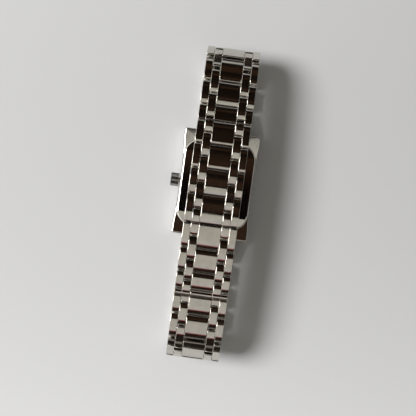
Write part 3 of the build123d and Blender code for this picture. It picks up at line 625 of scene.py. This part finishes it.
def end_link_shape(reach):
    """A block that turns on the spring bar, with the fingers of a half row in front."""
    bm = bmesh.new()
    behind = reach - PIN_TO_END - JUNCTION_GAP
    front = reach + PIN_TO_END
    y = -BRACELET_WIDTH / 2
    first = bm.verts.new((0, y, TOP))
    bmesh.ops.spin(
        bm,
        geom=[first],
        cent=(0, y, 0),
        axis=Y_AXIS,
        angle=-math.pi,
        steps=BLOCK_ROUND_STEPS,
    )
    loop = follow_chain(first)
    loop.append(bm.verts.new((behind, y, -TOP)))
    loop.append(bm.verts.new((behind, y, TOP)))
    moved = extrude_by(bm, [bm.faces.new(loop)], (0, BRACELET_WIDTH, 0))
    break_edges(bm, faces_at(moved + loop), BLOCK_EDGE_BREAK, segments=3)
    for width, place in ROW_COLUMNS:
        link_piece(bm, behind - FINGER_ROOT, front, width, place, ("flat", "domed"))
    add_pin(bm, reach)
    return bm


def short_row_shape(front, drop):
    """The row before a straight cut: its intermediate columns end in stubs that belong to it."""
    bm = bmesh.new()
    for width, place in ROW_COLUMNS:
        link_piece(bm, -PIN_TO_END, front, width, place, ("domed", "flat"))
    stub = PIN_TO_END + JUNCTION_GAP
    for place in SLOT_PLACES:
        link_piece(bm, stub, front, SLOT_PIECE_WIDTH, place, ("flat", "flat"), TOP - drop)
    add_pin(bm, 0)
    return bm


# Places of the links, read from the frame's hinges


def link_matrix(origin, along, axis):
    """The frame of a link at its hinge: X along the bracelet, Z away from the wrist."""
    outward = axis.cross(along)
    turn = Matrix((along, -axis, outward)).transposed().to_4x4()
    return Matrix.Translation(origin) @ turn


def chain_places(side):
    """Each link body of one half with its matrix, and the point where its short row is cut."""
    found = [joint for joint in frame["joints"] if joint["child"].startswith(side + "_")]
    hinges = [(joint["child"], Vector(joint["pos_m"]), Vector(joint["axis"])) for joint in found]
    places = []
    for (body, start, axis), (_, end, _) in zip(hinges, hinges[1:]):
        places.append((body, link_matrix(start, (end - start).normalized(), axis)))
    body, start, axis = hinges[-1]
    before = hinges[-2][1]
    along = (start - before).normalized()
    places.append((body, link_matrix(start, along, axis)))
    return places, start + along * SHORT_REACH[side] * MM


def cut_row_shape(side):
    """The short row of one half. The lower one has the knuckle that the clasp turns on."""
    cut = SHORT_REACH[side]
    if side == "upper":
        return short_row_shape(cut - CUT_GAP / 2, 0)
    bm = short_row_shape(cut - CUT_SETBACK, STUB_DROP)
    half = CENTRE_WIDTH / 2 - SIDE_GAP
    cross_rod(bm, CUT_KNUCKLE_RADIUS, cut, -CUT_KNUCKLE_DROP, -half, half, KNUCKLE_SIDES)
    return bm


def build_chain(side):
    """The links of one half of the bracelet, each on its own body."""
    places, cut = chain_places(side)
    row = row_shape()
    pair = pair_shape()
    middle = Matrix.Translation((PIN_SPACING / 2 * MM, 0, 0))
    for body, matrix in places:
        name = body + "_pieces"
        if body.endswith("end_link"):
            bm = end_link_shape(END_LINK_REACH[side])
            name = body + "_block"
        elif body.endswith("short_row"):
            bm = cut_row_shape(side)
        else:
            bm = row.copy() if "_row_" in body else pair.copy()
            matrix = matrix @ middle
        finish_piece(bm, name, "bracelet_steel", body, [body], matrix)
    row.free()
    pair.free()
    return cut


# Clasp


def clasp_frame(cut_6, cut_12):
    """The clasp's own frame, its arc's length and half angle, from its cuts at 6 and 12."""
    span = cut_12 - cut_6
    half_angle = math.asin(span.length / MM / 2 / CLASP_RADIUS)
    arc = 2 * CLASP_RADIUS * half_angle
    along = span.normalized()
    outward = X_AXIS.cross(along)
    sag = CLASP_RADIUS * (1 - math.cos(half_angle)) * MM
    turn = Matrix((along, -X_AXIS, outward)).transposed().to_4x4()
    return Matrix.Translation((cut_6 + cut_12) / 2 + outward * sag) @ turn, arc, half_angle


def on_arc(length, half_angle):
    """Places a shape at this length along the clasp's arc, in millimetres."""
    angle = length / CLASP_RADIUS - half_angle
    drop = Matrix.Translation((0, 0, -CLASP_RADIUS))
    rise = Matrix.Translation((0, 0, CLASP_RADIUS))
    return drop @ Matrix.Rotation(angle, 4, "Y") @ rise


def merge(bm, part, matrix):
    """Adds a finished part to a shape at a place."""
    bmesh.ops.transform(part, matrix=matrix, verts=part.verts[:])
    mesh = bpy.data.meshes.new("part")
    part.to_mesh(mesh)
    part.free()
    bm.from_mesh(mesh)
    bpy.data.meshes.remove(mesh)


def add_strip(bm, start, end, low, high, width, half_angle):
    """A blade that follows the clasp's arc between two lengths and two heights."""
    part = bmesh.new()
    place = Matrix.Translation(((start + end) / 2, 0, (low + high) / 2))
    size = Matrix.Diagonal((end - start, width, high - low, 1))
    verts = bmesh.ops.create_cube(part, size=1, matrix=place @ size)["verts"]
    break_edges(part, faces_at(verts), STRIP_EDGE_BREAK)
    half = (end - start) / 2
    long_edges = [edge for edge in part.edges if spread_on(edge, "x") > half]
    bmesh.ops.subdivide_edges(part, edges=long_edges, cuts=STRIP_BENDS)
    for vert in part.verts:
        vert.co = on_arc(vert.co.x, half_angle) @ Vector((0, vert.co.y, vert.co.z))
    merge(bm, part, IN_PLACE)


def add_knuckle(bm, radius, length, z, half_angle, start, end):
    """A knuckle or pin across the clasp at this length along its arc."""
    part = bmesh.new()
    cross_rod(part, radius, 0, z, start, end, KNUCKLE_SIDES)
    merge(bm, part, on_arc(length, half_angle))


def end_kinds(ends, near, far, bounds):
    """The two ends of a piece: domed, apart from those where the whole part ends."""
    return (
        ends[0] if near == bounds[0] else "domed",
        ends[1] if far == bounds[-1] else "domed",
    )


def add_rows(bm, start, end, stops, half_angle, ends, shapes):
    """The rows of a rigid part of the clasp, each with its own domes and slight tilt."""
    bounds = [start - JUNCTION_GAP / 2] + list(stops) + [end + JUNCTION_GAP / 2]
    for near, far, (radii, tilt) in zip(bounds, bounds[1:], shapes):
        kinds = end_kinds(ends, near, far, bounds)
        half = (far - near - JUNCTION_GAP) / 2
        lean = Matrix.Rotation(math.radians(tilt), 4, "Y")
        sink = Matrix.Translation((0, 0, -ROW_SINK))
        place = on_arc((near + far) / 2, half_angle) @ sink @ lean
        for width, side in ROW_COLUMNS:
            part = bmesh.new()
            link_piece(part, -half, half, width, side, kinds, radii=radii)
            arch_top(part, -half, half)
            merge(bm, part, place)


def add_slot_pieces(bm, start, end, stops, half_angle, ends):
    """The intermediate pieces of a rigid part of the clasp, from mid-row to mid-row."""
    rows = [start] + list(stops) + [end]
    bounds = [start] + [(near + far) / 2 for near, far in zip(rows, rows[1:])] + [end]
    if ends[0] == "domed":
        bounds[0] = -STUB_OVERHANG
    for near, far in zip(bounds, bounds[1:]):
        kinds = end_kinds(ends, near, far, bounds)
        back = 0 if near == bounds[0] else JUNCTION_GAP / 2
        front = 0 if far == bounds[-1] else JUNCTION_GAP / 2
        middle = (near + far) / 2
        reach = (near + back - middle, far - front - middle)
        for side in SLOT_PLACES:
            part = bmesh.new()
            link_piece(part, *reach, SLOT_PIECE_WIDTH, side, kinds)
            arch_top(part, *reach)
            merge(bm, part, on_arc(middle, half_angle))


def add_posts(bm, length, half_angle):
    """Two small posts on the blade, one on each side of the arm."""
    for side in (1, -1):
        part = bmesh.new()
        bmesh.ops.create_cone(
            part,
            cap_ends=True,
            segments=POST_SIDES,
            radius1=POST_RADIUS,
            radius2=POST_TIP_RADIUS,
            depth=POST_LENGTH,
            matrix=Matrix.Translation((0, side * (PLATE_WIDTH / 2 - POST_INSET), POST_Z)),
        )
        merge(bm, part, on_arc(length, half_angle))


def build_clasp(cut_6, cut_12):
    """Base, cover and arm of the clasp, all shaped closed in the clasp's own frame."""
    matrix, arc, half_angle = clasp_frame(cut_6, cut_12)
    pitch = arc / (COVER_ROWS + BASE_ROWS)
    stops = [share * arc for share in ROW_SHARES]
    shapes = list(zip(ROW_DOMES, ROW_TILTS))
    seam = stops[BASE_ROWS]
    inner_hinge = (BASE_ROWS + 0.5) * pitch
    outer_hinge = arc - pitch / 2
    arm_half = ARM_WIDTH / 2
    reach = arm_half + KNUCKLE_REACH
    ears = ((arm_half + SIDE_GAP, reach), (-reach, -arm_half - SIDE_GAP))

    base = bmesh.new()
    end = seam - CUT_GAP / 2
    root = seam / 2
    kinds = ("domed", "flat")
    rows = stops[1:BASE_ROWS]
    add_rows(base, CUT_SETBACK, end, rows, half_angle, kinds, shapes)
    add_slot_pieces(base, CUT_SETBACK, end, rows, half_angle, kinds)
    add_strip(base, CUT_SETBACK + TAPER, end, -TOP, WEB_TOP, WEB_WIDTH, half_angle)
    add_strip(base, root, end, BASE_LOW, -TOP + PLATE_LAP, PLATE_WIDTH, half_angle)
    add_strip(base, root, outer_hinge, BASE_LOW, BASE_TOP, PLATE_WIDTH, half_angle)
    for ear in ears:
        add_knuckle(base, KNUCKLE_RADIUS, outer_hinge, OUTER_HINGE_Z, half_angle, *ear)
    add_knuckle(base, INNER_PIN_RADIUS, outer_hinge, OUTER_HINGE_Z, half_angle, -reach, reach)
    side = CENTRE_WIDTH / 2 - SIDE_GAP + CUT_KNUCKLE_GAP
    half = BRACELET_WIDTH / 2
    for ear in ((side, half), (-half, -side)):
        add_knuckle(base, CUT_KNUCKLE_RADIUS, 0, -CUT_KNUCKLE_DROP, half_angle, *ear)
    add_posts(base, inner_hinge + pitch / 2, half_angle)
    name = "clasp_base_rows_and_blade"
    finish_piece(base, name, "clasp_steel", "clasp_base", ["clasp_base"], matrix)

    cover = bmesh.new()
    start = seam + CUT_GAP / 2
    end = arc - CUT_GAP / 2
    rows = stops[BASE_ROWS + 1 : -1]
    add_rows(cover, start, end, rows, half_angle, ("cut", "domed"), shapes[BASE_ROWS:])
    add_slot_pieces(cover, start, end, rows, half_angle, ("cut", "flat"))
    add_strip(cover, start, end, COVER_UNDER, WEB_TOP, WEB_WIDTH, half_angle)
    for ear in ears:
        add_knuckle(cover, KNUCKLE_RADIUS, inner_hinge, INNER_HINGE_Z, half_angle, *ear)
    add_knuckle(cover, INNER_PIN_RADIUS, inner_hinge, INNER_HINGE_Z, half_angle, -reach, reach)
    name = "clasp_cover_rows"
    finish_piece(cover, name, "clasp_steel", "clasp_cover", ["clasp_cover"], matrix)

    arm = bmesh.new()
    add_strip(arm, inner_hinge, outer_hinge, ARM_LOW, ARM_TOP, ARM_WIDTH, half_angle)
    for length, z in ((inner_hinge, INNER_HINGE_Z), (outer_hinge, OUTER_HINGE_Z)):
        add_knuckle(arm, KNUCKLE_RADIUS, length, z, half_angle, -arm_half, arm_half)
    name = "clasp_arm_blade"
    finish_piece(arm, name, "clasp_steel", "clasp_arm", ["clasp_arm"], matrix, "blade_steel")


# Case


def block(low, high):
    """A box between two corners."""
    bm = bmesh.new()
    low, high = Vector(low), Vector(high)
    size = Matrix.Diagonal((*(high - low), 1))
    bmesh.ops.create_cube(bm, size=1, matrix=Matrix.Translation((low + high) / 2) @ size)
    return bm


def upright_edges(bm):
    return [edge for edge in bm.edges if spread_on(edge, "z") > NEAR]


def rounded_plate(size, low, high, corner, top_edge=0.0, low_edge=0.0, segments=8):
    """A plate with round corners whose upper edge, and lower edge if asked, is rounded."""
    half_x, half_y = size[0] / 2, size[1] / 2
    bm = block((-half_x, -half_y, low), (half_x, half_y, high))
    bmesh.ops.bevel(bm, geom=upright_edges(bm), offset=corner, segments=segments, **BEVEL)
    for height, width in ((high, top_edge), (low, low_edge)):
        if width:
            level = [vert for vert in bm.verts if abs(vert.co.z - height) < NEAR]
            rim = [edge for edge in bm.edges if all(vert in level for vert in edge.verts)]
            bmesh.ops.bevel(bm, geom=rim, offset=width, segments=4, **BEVEL)
    return bm


def solid_object(bm):
    """A bare object in millimetres, to carve or to carve with."""
    mesh = bpy.data.meshes.new("carved")
    bmesh.ops.recalc_face_normals(bm, faces=bm.faces[:])
    bm.to_mesh(mesh)
    bm.free()
    solid = bpy.data.objects.new("carved", mesh)
    bpy.context.scene.collection.objects.link(solid)
    return solid


def carve(bm, cutters):
    """Takes the cutters' shapes out of a shape."""
    solid = solid_object(bm)
    tools = [solid_object(cutter) for cutter in cutters]
    for tool in tools:
        cut = solid.modifiers.new("cut", "BOOLEAN")
        cut.operation = "DIFFERENCE"
        cut.solver = "EXACT"
        cut.object = tool
    bpy.context.view_layer.update()
    evaluated = solid.evaluated_get(bpy.context.evaluated_depsgraph_get())
    carved = bpy.data.meshes.new_from_object(evaluated)
    result = bmesh.new()
    result.from_mesh(carved)
    for used in [solid] + tools:
        mesh = used.data
        bpy.data.objects.remove(used)
        bpy.data.meshes.remove(mesh)
    bpy.data.meshes.remove(carved)
    return result


def bore_cutter(radius, centre, depth):
    """A rod along X that cuts a bore."""
    bm = bmesh.new()
    bmesh.ops.create_cone(
        bm,
        cap_ends=True,
        segments=BORE_SIDES,
        radius1=radius,
        radius2=radius,
        depth=depth,
        matrix=Matrix.Translation(centre) @ QUARTER_TURN,
    )
    return bm


def cut_across(bm, places):
    """Divides a shape at these places on Y, so that it can be bent there."""
    for y in places:
        geometry = bm.verts[:] + bm.edges[:] + bm.faces[:]
        bmesh.ops.bisect_plane(
            bm, geom=geometry, plane_co=(0, y, 0), plane_no=Y_AXIS, dist=0.0001
        )


def round_rim(bm, facing, width, segments):
    """Rounds the edges between the upright sides and the faces that look up, or down."""
    bm.normal_update()
    rim = []
    for edge in bm.edges:
        tilts = [face.normal.z * facing for face in edge.link_faces]
        if max(tilts) > LEVEL and min(abs(tilt) for tilt in tilts) < UPRIGHT:
            rim.append(edge)
    bmesh.ops.bevel(bm, geom=rim, offset=width, segments=segments, clamp_overlap=True, **BEVEL)


def end_share(y, half_length):
    """How far a place on Y is from the level middle of the back towards an end, 0 to 1."""
    return max(0.0, (abs(y) - FLAT_BACK_Y) / (half_length - FLAT_BACK_Y))


def build_case():
    """The case with its drawn-in sides, rising lugs, notches, and room for what it holds."""
    half_x = CASE_WIDTH / 2
    half_y = CASE_LENGTH / 2
    body = block((-half_x, -half_y, BEZEL_Z), (half_x, half_y, BACK_FACE_Z))
    bmesh.ops.bevel(body, geom=upright_edges(body), offset=CASE_CORNER, segments=5, **BEVEL)
    steps = [WAIST_Y * step / WAIST_STEPS for step in range(-WAIST_STEPS, WAIST_STEPS + 1)]
    cut_across(body, steps + [FLAT_BACK_Y, -FLAT_BACK_Y])
    for vert in body.verts:
        drawn_in = WAIST_DEPTH * max(0.0, 1 - (vert.co.y / WAIST_Y) ** 2)
        vert.co.x *= 1 - drawn_in / half_x
        if vert.co.z > BACK_FACE_Z - NEAR:
            vert.co.z += LUG_RISE * end_share(vert.co.y, half_y)
    for facing in (1, -1):
        round_rim(body, facing, END_BEVEL, segments=3)
    notch = NOTCH_WIDTH / 2
    inner = half_y - NOTCH_DEPTH
    above = BACK_FACE_Z + PAST
    cutters = [
        block((-notch, inner, -PAST), (notch, half_y + PAST, above)),
        block((-notch, -half_y - PAST, -PAST), (notch, -inner, above)),
        rounded_plate(SEAT_SIZE, -PAST, CRYSTAL_TOP, WINDOW_CORNER, segments=4),
        rounded_plate(WINDOW_SIZE, 0, WINDOW_TOP, WINDOW_CORNER, segments=4),
        rounded_plate(ROOM_SIZE, ROOM_FLOOR_Z, above, ROOM_CORNER, segments=5),
        rounded_plate(RECESS_SIZE, BACK_FACE_Z, above, RECESS_CORNER, segments=10),
        bore_cutter(STEM_BORE, (-half_x, 0, STEM_Z), STEM_BORE_REACH),
    ]
    finish_piece(
        carve(body, cutters),
        "case_middle",
        "case_steel",
        "case",
        ["mid_case"],
        smooth_angle=CASE_SMOOTH_ANGLE,
    )


def build_case_back():
    """The back plate: level in the middle, with a crease beyond which its ends fall off."""
    plate = rounded_plate(BACK_SIZE, BACK_FACE_Z, BACK_TOP, BACK_CORNER, segments=12)
    cut_across(plate, [FLAT_BACK_Y, -FLAT_BACK_Y])
    for vert in plate.verts:
        if vert.co.z > BACK_TOP - NEAR:
            vert.co.z -= BACK_END_DROP * end_share(vert.co.y, BACK_SIZE[1] / 2)
    round_rim(plate, 1, BACK_EDGE, segments=5)
    piece = finish_piece(
        plate,
        "case_back_plate",
        "case_steel",
        "case",
        ["case_back"],
        finish="back_steel",
        smooth_angle=CASE_SMOOTH_ANGLE,
    )
    for edge in piece.data.edges:
        ends = [piece.data.vertices[index].co / MM for index in edge.vertices]
        on_top = all(end.z > BACK_TOP - BACK_EDGE / 2 for end in ends)
        if on_top and all(abs(abs(end.y) - FLAT_BACK_Y) < NEAR for end in ends):
            edge.use_edge_sharp = True


def build_crystal():
    """The crystal: a plate whose outer face lies on the floor."""
    glass = rounded_plate(CRYSTAL_SIZE, 0.0, CRYSTAL_TOP, WINDOW_CORNER, *CRYSTAL_EDGES)
    finish_piece(
        glass, "crystal_glass", "crystal", "case", ["crystal"], smooth_angle=CASE_SMOOTH_ANGLE
    )


def build_crown():
    """The knob: a fluted rim, a flat outer face with a soft edge, and a bore over its tube."""
    bm = bmesh.new()
    points = 4 * CROWN_FLUTES
    rim = bmesh.ops.create_circle(bm, cap_ends=True, segments=points, radius=CROWN_RADIUS)
    for vert in rim["verts"]:
        step = round(math.atan2(vert.co.y, vert.co.x) / (2 * math.pi) * points) % 4
        if step in (2, 3):
            vert.co *= FLUTE_SHARE
    moved = extrude_by(bm, bm.faces[:], (0, 0, CROWN_LENGTH))
    cap = [face for face in bm.faces if all(vert in moved for vert in face.verts)]
    bmesh.ops.inset_region(bm, faces=cap, thickness=CROWN_FACE_INSET, depth=CROWN_FACE_RISE)
    place = Matrix.Translation(CROWN_ROOT) @ QUARTER_TURN.inverted()
    bmesh.ops.transform(bm, matrix=place, verts=bm.verts[:])
    knob = carve(bm, [bore_cutter(CROWN_BORE, CROWN_ROOT, CROWN_BORE_REACH)])
    finish_piece(
        knob, "crown_knob", "crown_steel", "crown", ["crown"], smooth_angle=CROWN_SMOOTH_ANGLE
    )


def dress_nodes():
    """Gives each CAD node that stays the finish of its slot, and the crown's tube the case's."""
    slots = {entry["node"]: entry["material_slot"] for entry in frame["record"]["subparts"]}
    for name, node in frame["nodes"].items():
        finish = FINISHES["case_steel" if name == "crown_tube" else slots[name]]
        if not node.data.materials:
            node.data.materials.append(finish)
        for index in range(len(node.data.materials)):
            node.data.materials[index] = finish


# Floor, light and camera. The floor's painted shade follows the camera's turn, in half widths of its
# view. The window that the steel mirrors is to the west, by degrees from overhead.
CAMERA_PLACE = (-0.00141, -0.00751, 0.310)
CAMERA_TURN = math.radians(7.8)
CAMERA_LENS = 84.7
SENSOR_WIDTH = 36
HALF_VIEWS_PER_METRE = 15.2
FLOOR_HALF_WIDTH = 1.5
# The floor's colour runs between these two as painted shade: darker to the right, lighter to the bottom
FLOOR_DARK = (0.56, 0.56, 0.57, 1)
FLOOR_LIGHT = (0.795, 0.797, 0.809, 1)
FALLOFF_REACH = 1.3
FALLOFF_MIDDLE = 0.905
FALLOFF_LOWEST = 0.8
FALLOFF_CONTRAST = 3.0
FALL_ACROSS = 0.08
FALL_UP = 0.06
BEND_UP = 0.06
SHIFT_UP = 0.11
FIBRE_SHARE = 0.02
AMBIENT = {"Color": (1.0, 0.985, 0.88, 1), "Strength": 0.22}
BACKDROP = {"Color": (0.66, 0.66, 0.66, 1), "Strength": 1.0}
WALL_COLOUR = (0.42, 0.42, 0.41, 1)
WINDOW_COLOUR = (2.2, 2.2, 2.15, 1)
WINDOW_SILL = (-64.0, -52.0)
WINDOW_HEAD = (-42.0, -30.0)

# What the steel mirrors, by the angle in degrees from overhead towards north, which is +Y
MIRRORED_BANDS = (
    (-90.0, (0.10, 0.09, 0.08)),
    (-76.0, (0.02, 0.015, 0.012)),
    (-62.0, (0.02, 0.015, 0.012)),
    (-59.0, (0.24, 0.22, 0.20)),
    (-52.0, (0.24, 0.22, 0.20)),
    (-49.0, (0.02, 0.015, 0.012)),
    (-36.5, (0.02, 0.015, 0.012)),
    (-35.7, (0.36, 0.02, 0.035)),
    (-34.3, (0.36, 0.02, 0.035)),
    (-33.3, (0.62, 0.61, 0.59)),
    (-22.0, (0.62, 0.61, 0.58)),
    (-10.0, (0.58, 0.56, 0.51)),
    (-3.6, (0.55, 0.53, 0.48)),
    (-3.0, (0.003, 0.002, 0.002)),
    (1.5, (0.003, 0.002, 0.002)),
    (3.0, (0.038, 0.020, 0.012)),
    (7.0, (0.038, 0.020, 0.012)),
    (11.0, (0.017, 0.010, 0.006)),
    (17.0, (0.010, 0.006, 0.004)),
    (29.0, (0.007, 0.005, 0.004)),
    (32.5, (0.034, 0.018, 0.010)),
    (36.0, (0.034, 0.018, 0.010)),
    (40.0, (0.008, 0.006, 0.005)),
    (50.0, (0.010, 0.008, 0.007)),
    (53.0, (0.55, 0.54, 0.52)),
    (58.0, (0.55, 0.54, 0.52)),
    (61.0, (0.02, 0.02, 0.02)),
    (90.0, (0.036, 0.024, 0.018)),
)


def build_floor():
    """White paper, with painted shade that makes it a little darker towards the upper right of the view."""
    bm = bmesh.new()
    bmesh.ops.create_grid(bm, x_segments=1, y_segments=1, size=FLOOR_HALF_WIDTH)
    mesh = bpy.data.meshes.new("floor")
    bm.to_mesh(mesh)
    bm.free()
    floor = bpy.data.objects.new("floor", mesh)
    bpy.context.scene.collection.objects.link(floor)
    material, tree, shader = new_material("floor paper")
    view = stretched(tree, (HALF_VIEWS_PER_METRE,) * 3, turn=(0, 0, -CAMERA_TURN))
    across, up, _ = split_axes(tree, view)
    across = across.clamped(-FALLOFF_REACH, FALLOFF_REACH)
    up = (up + SHIFT_UP).clamped(-FALLOFF_REACH, FALLOFF_REACH)
    # Painted shade: the floor's colour falls off towards the upper right, where the light falls off
    painted_falloff = FALLOFF_MIDDLE - FALL_ACROSS * across - FALL_UP * up + BEND_UP * up * up
    fibre = noise(tree, object_place(tree), scale=400.0, detail=4.0)
    amount = FALLOFF_CONTRAST * (painted_falloff - FALLOFF_LOWEST) + FIBRE_SHARE * fibre
    values = {
        "Base Color": mix_colours(tree, amount.clamped(), FLOOR_DARK, FLOOR_LIGHT),
        "Roughness": 0.9,
        "Specular IOR Level": 0.1,
    }
    dress_shader(tree, shader, values)
    mesh.materials.append(material)


def build_room():
    """Plain light for dull surfaces. Steel mirrors a room of bands with a window in the west."""
    world = bpy.data.worlds.new("room")
    bpy.context.scene.world = world
    world.use_nodes = True
    tree = world.node_tree
    background = tree.nodes["Background"]
    output = background.outputs[0].links[0].to_socket
    direction = add_node(tree, "ShaderNodeTexCoord", output="Generated")
    x, y, z = split_axes(tree, direction)
    north = y.math("ARCTAN2", z) * (180 / math.pi)
    east = x.math("ARCTAN2", z) * (180 / math.pi)
    low = MIRRORED_BANDS[0][0]
    span = MIRRORED_BANDS[-1][0] - low
    stops = [((angle - low) / span, colour + (1.0,)) for angle, colour in MIRRORED_BANDS]
    values = {0: ((north - low) / span).clamped()}
    bands = add_node(tree, "ShaderNodeValToRGB", {"stops": stops}, values)
    glow = mix_colours(tree, east.between(*WINDOW_SILL), WALL_COLOUR, WINDOW_COLOUR)
    seen = mix_colours(tree, east.between(*WINDOW_HEAD), glow, bands)
    mirror = add_node(tree, "ShaderNodeBackground", None, {"Color": seen, "Strength": 1.0})
    plain = add_node(tree, "ShaderNodeBackground", None, AMBIENT)
    backdrop = add_node(tree, "ShaderNodeBackground", None, BACKDROP)
    glossy = add_node(tree, "ShaderNodeLightPath", output="Is Glossy Ray")
    through = add_node(tree, "ShaderNodeLightPath", output="Is Transmission Ray")
    camera = add_node(tree, "ShaderNodeLightPath", output="Is Camera Ray")
    mirrored = (glossy + through).clamped()
    lit = add_node(tree, "ShaderNodeMixShader", None, {0: mirrored, 1: plain, 2: mirror})
    shown = add_node(tree, "ShaderNodeMixShader", None, {0: camera, 1: lit, 2: backdrop})
    tree.links.new(shown.socket, output)
    tree.nodes.remove(background)


def add_sun(name, azimuth, elevation, strength, spread):
    """A lamp that shines from this azimuth, counted from +X towards +Y, and elevation."""
    lamp = bpy.data.lights.new(name, "SUN")
    lamp.energy = strength
    lamp.angle = math.radians(spread)
    lamp.color = (1.0, 0.995, 0.99)
    sun = bpy.data.objects.new(name, lamp)
    bpy.context.scene.collection.objects.link(sun)
    turn = math.radians(azimuth)
    height = math.radians(elevation)
    level = Vector((math.cos(turn), math.sin(turn), 0))
    towards = level * math.cos(height) + Vector((0, 0, math.sin(height)))
    sun.rotation_mode = "QUATERNION"
    sun.rotation_quaternion = towards.to_track_quat("Z", "Y")


def add_camera():
    """Looks straight down, turned as in the photograph."""
    data = bpy.data.cameras.new("camera")
    data.sensor_width = SENSOR_WIDTH
    data.lens = CAMERA_LENS
    data.clip_start = 0.01
    data.clip_end = 10
    camera = bpy.data.objects.new("camera", data)
    bpy.context.scene.collection.objects.link(camera)
    camera.location = CAMERA_PLACE
    camera.rotation_euler = (0, 0, CAMERA_TURN)
    bpy.context.scene.camera = camera


cut_12 = build_chain("upper")
cut_6 = build_chain("lower")
build_clasp(cut_6, cut_12)
build_case()
build_case_back()
build_crystal()
build_crown()
dress_nodes()
build_floor()
build_room()
add_sun("key lamp", azimuth=180, elevation=50, strength=3.0, spread=26.0)
add_camera()
bpy.context.scene.view_settings.view_transform = "Standard"
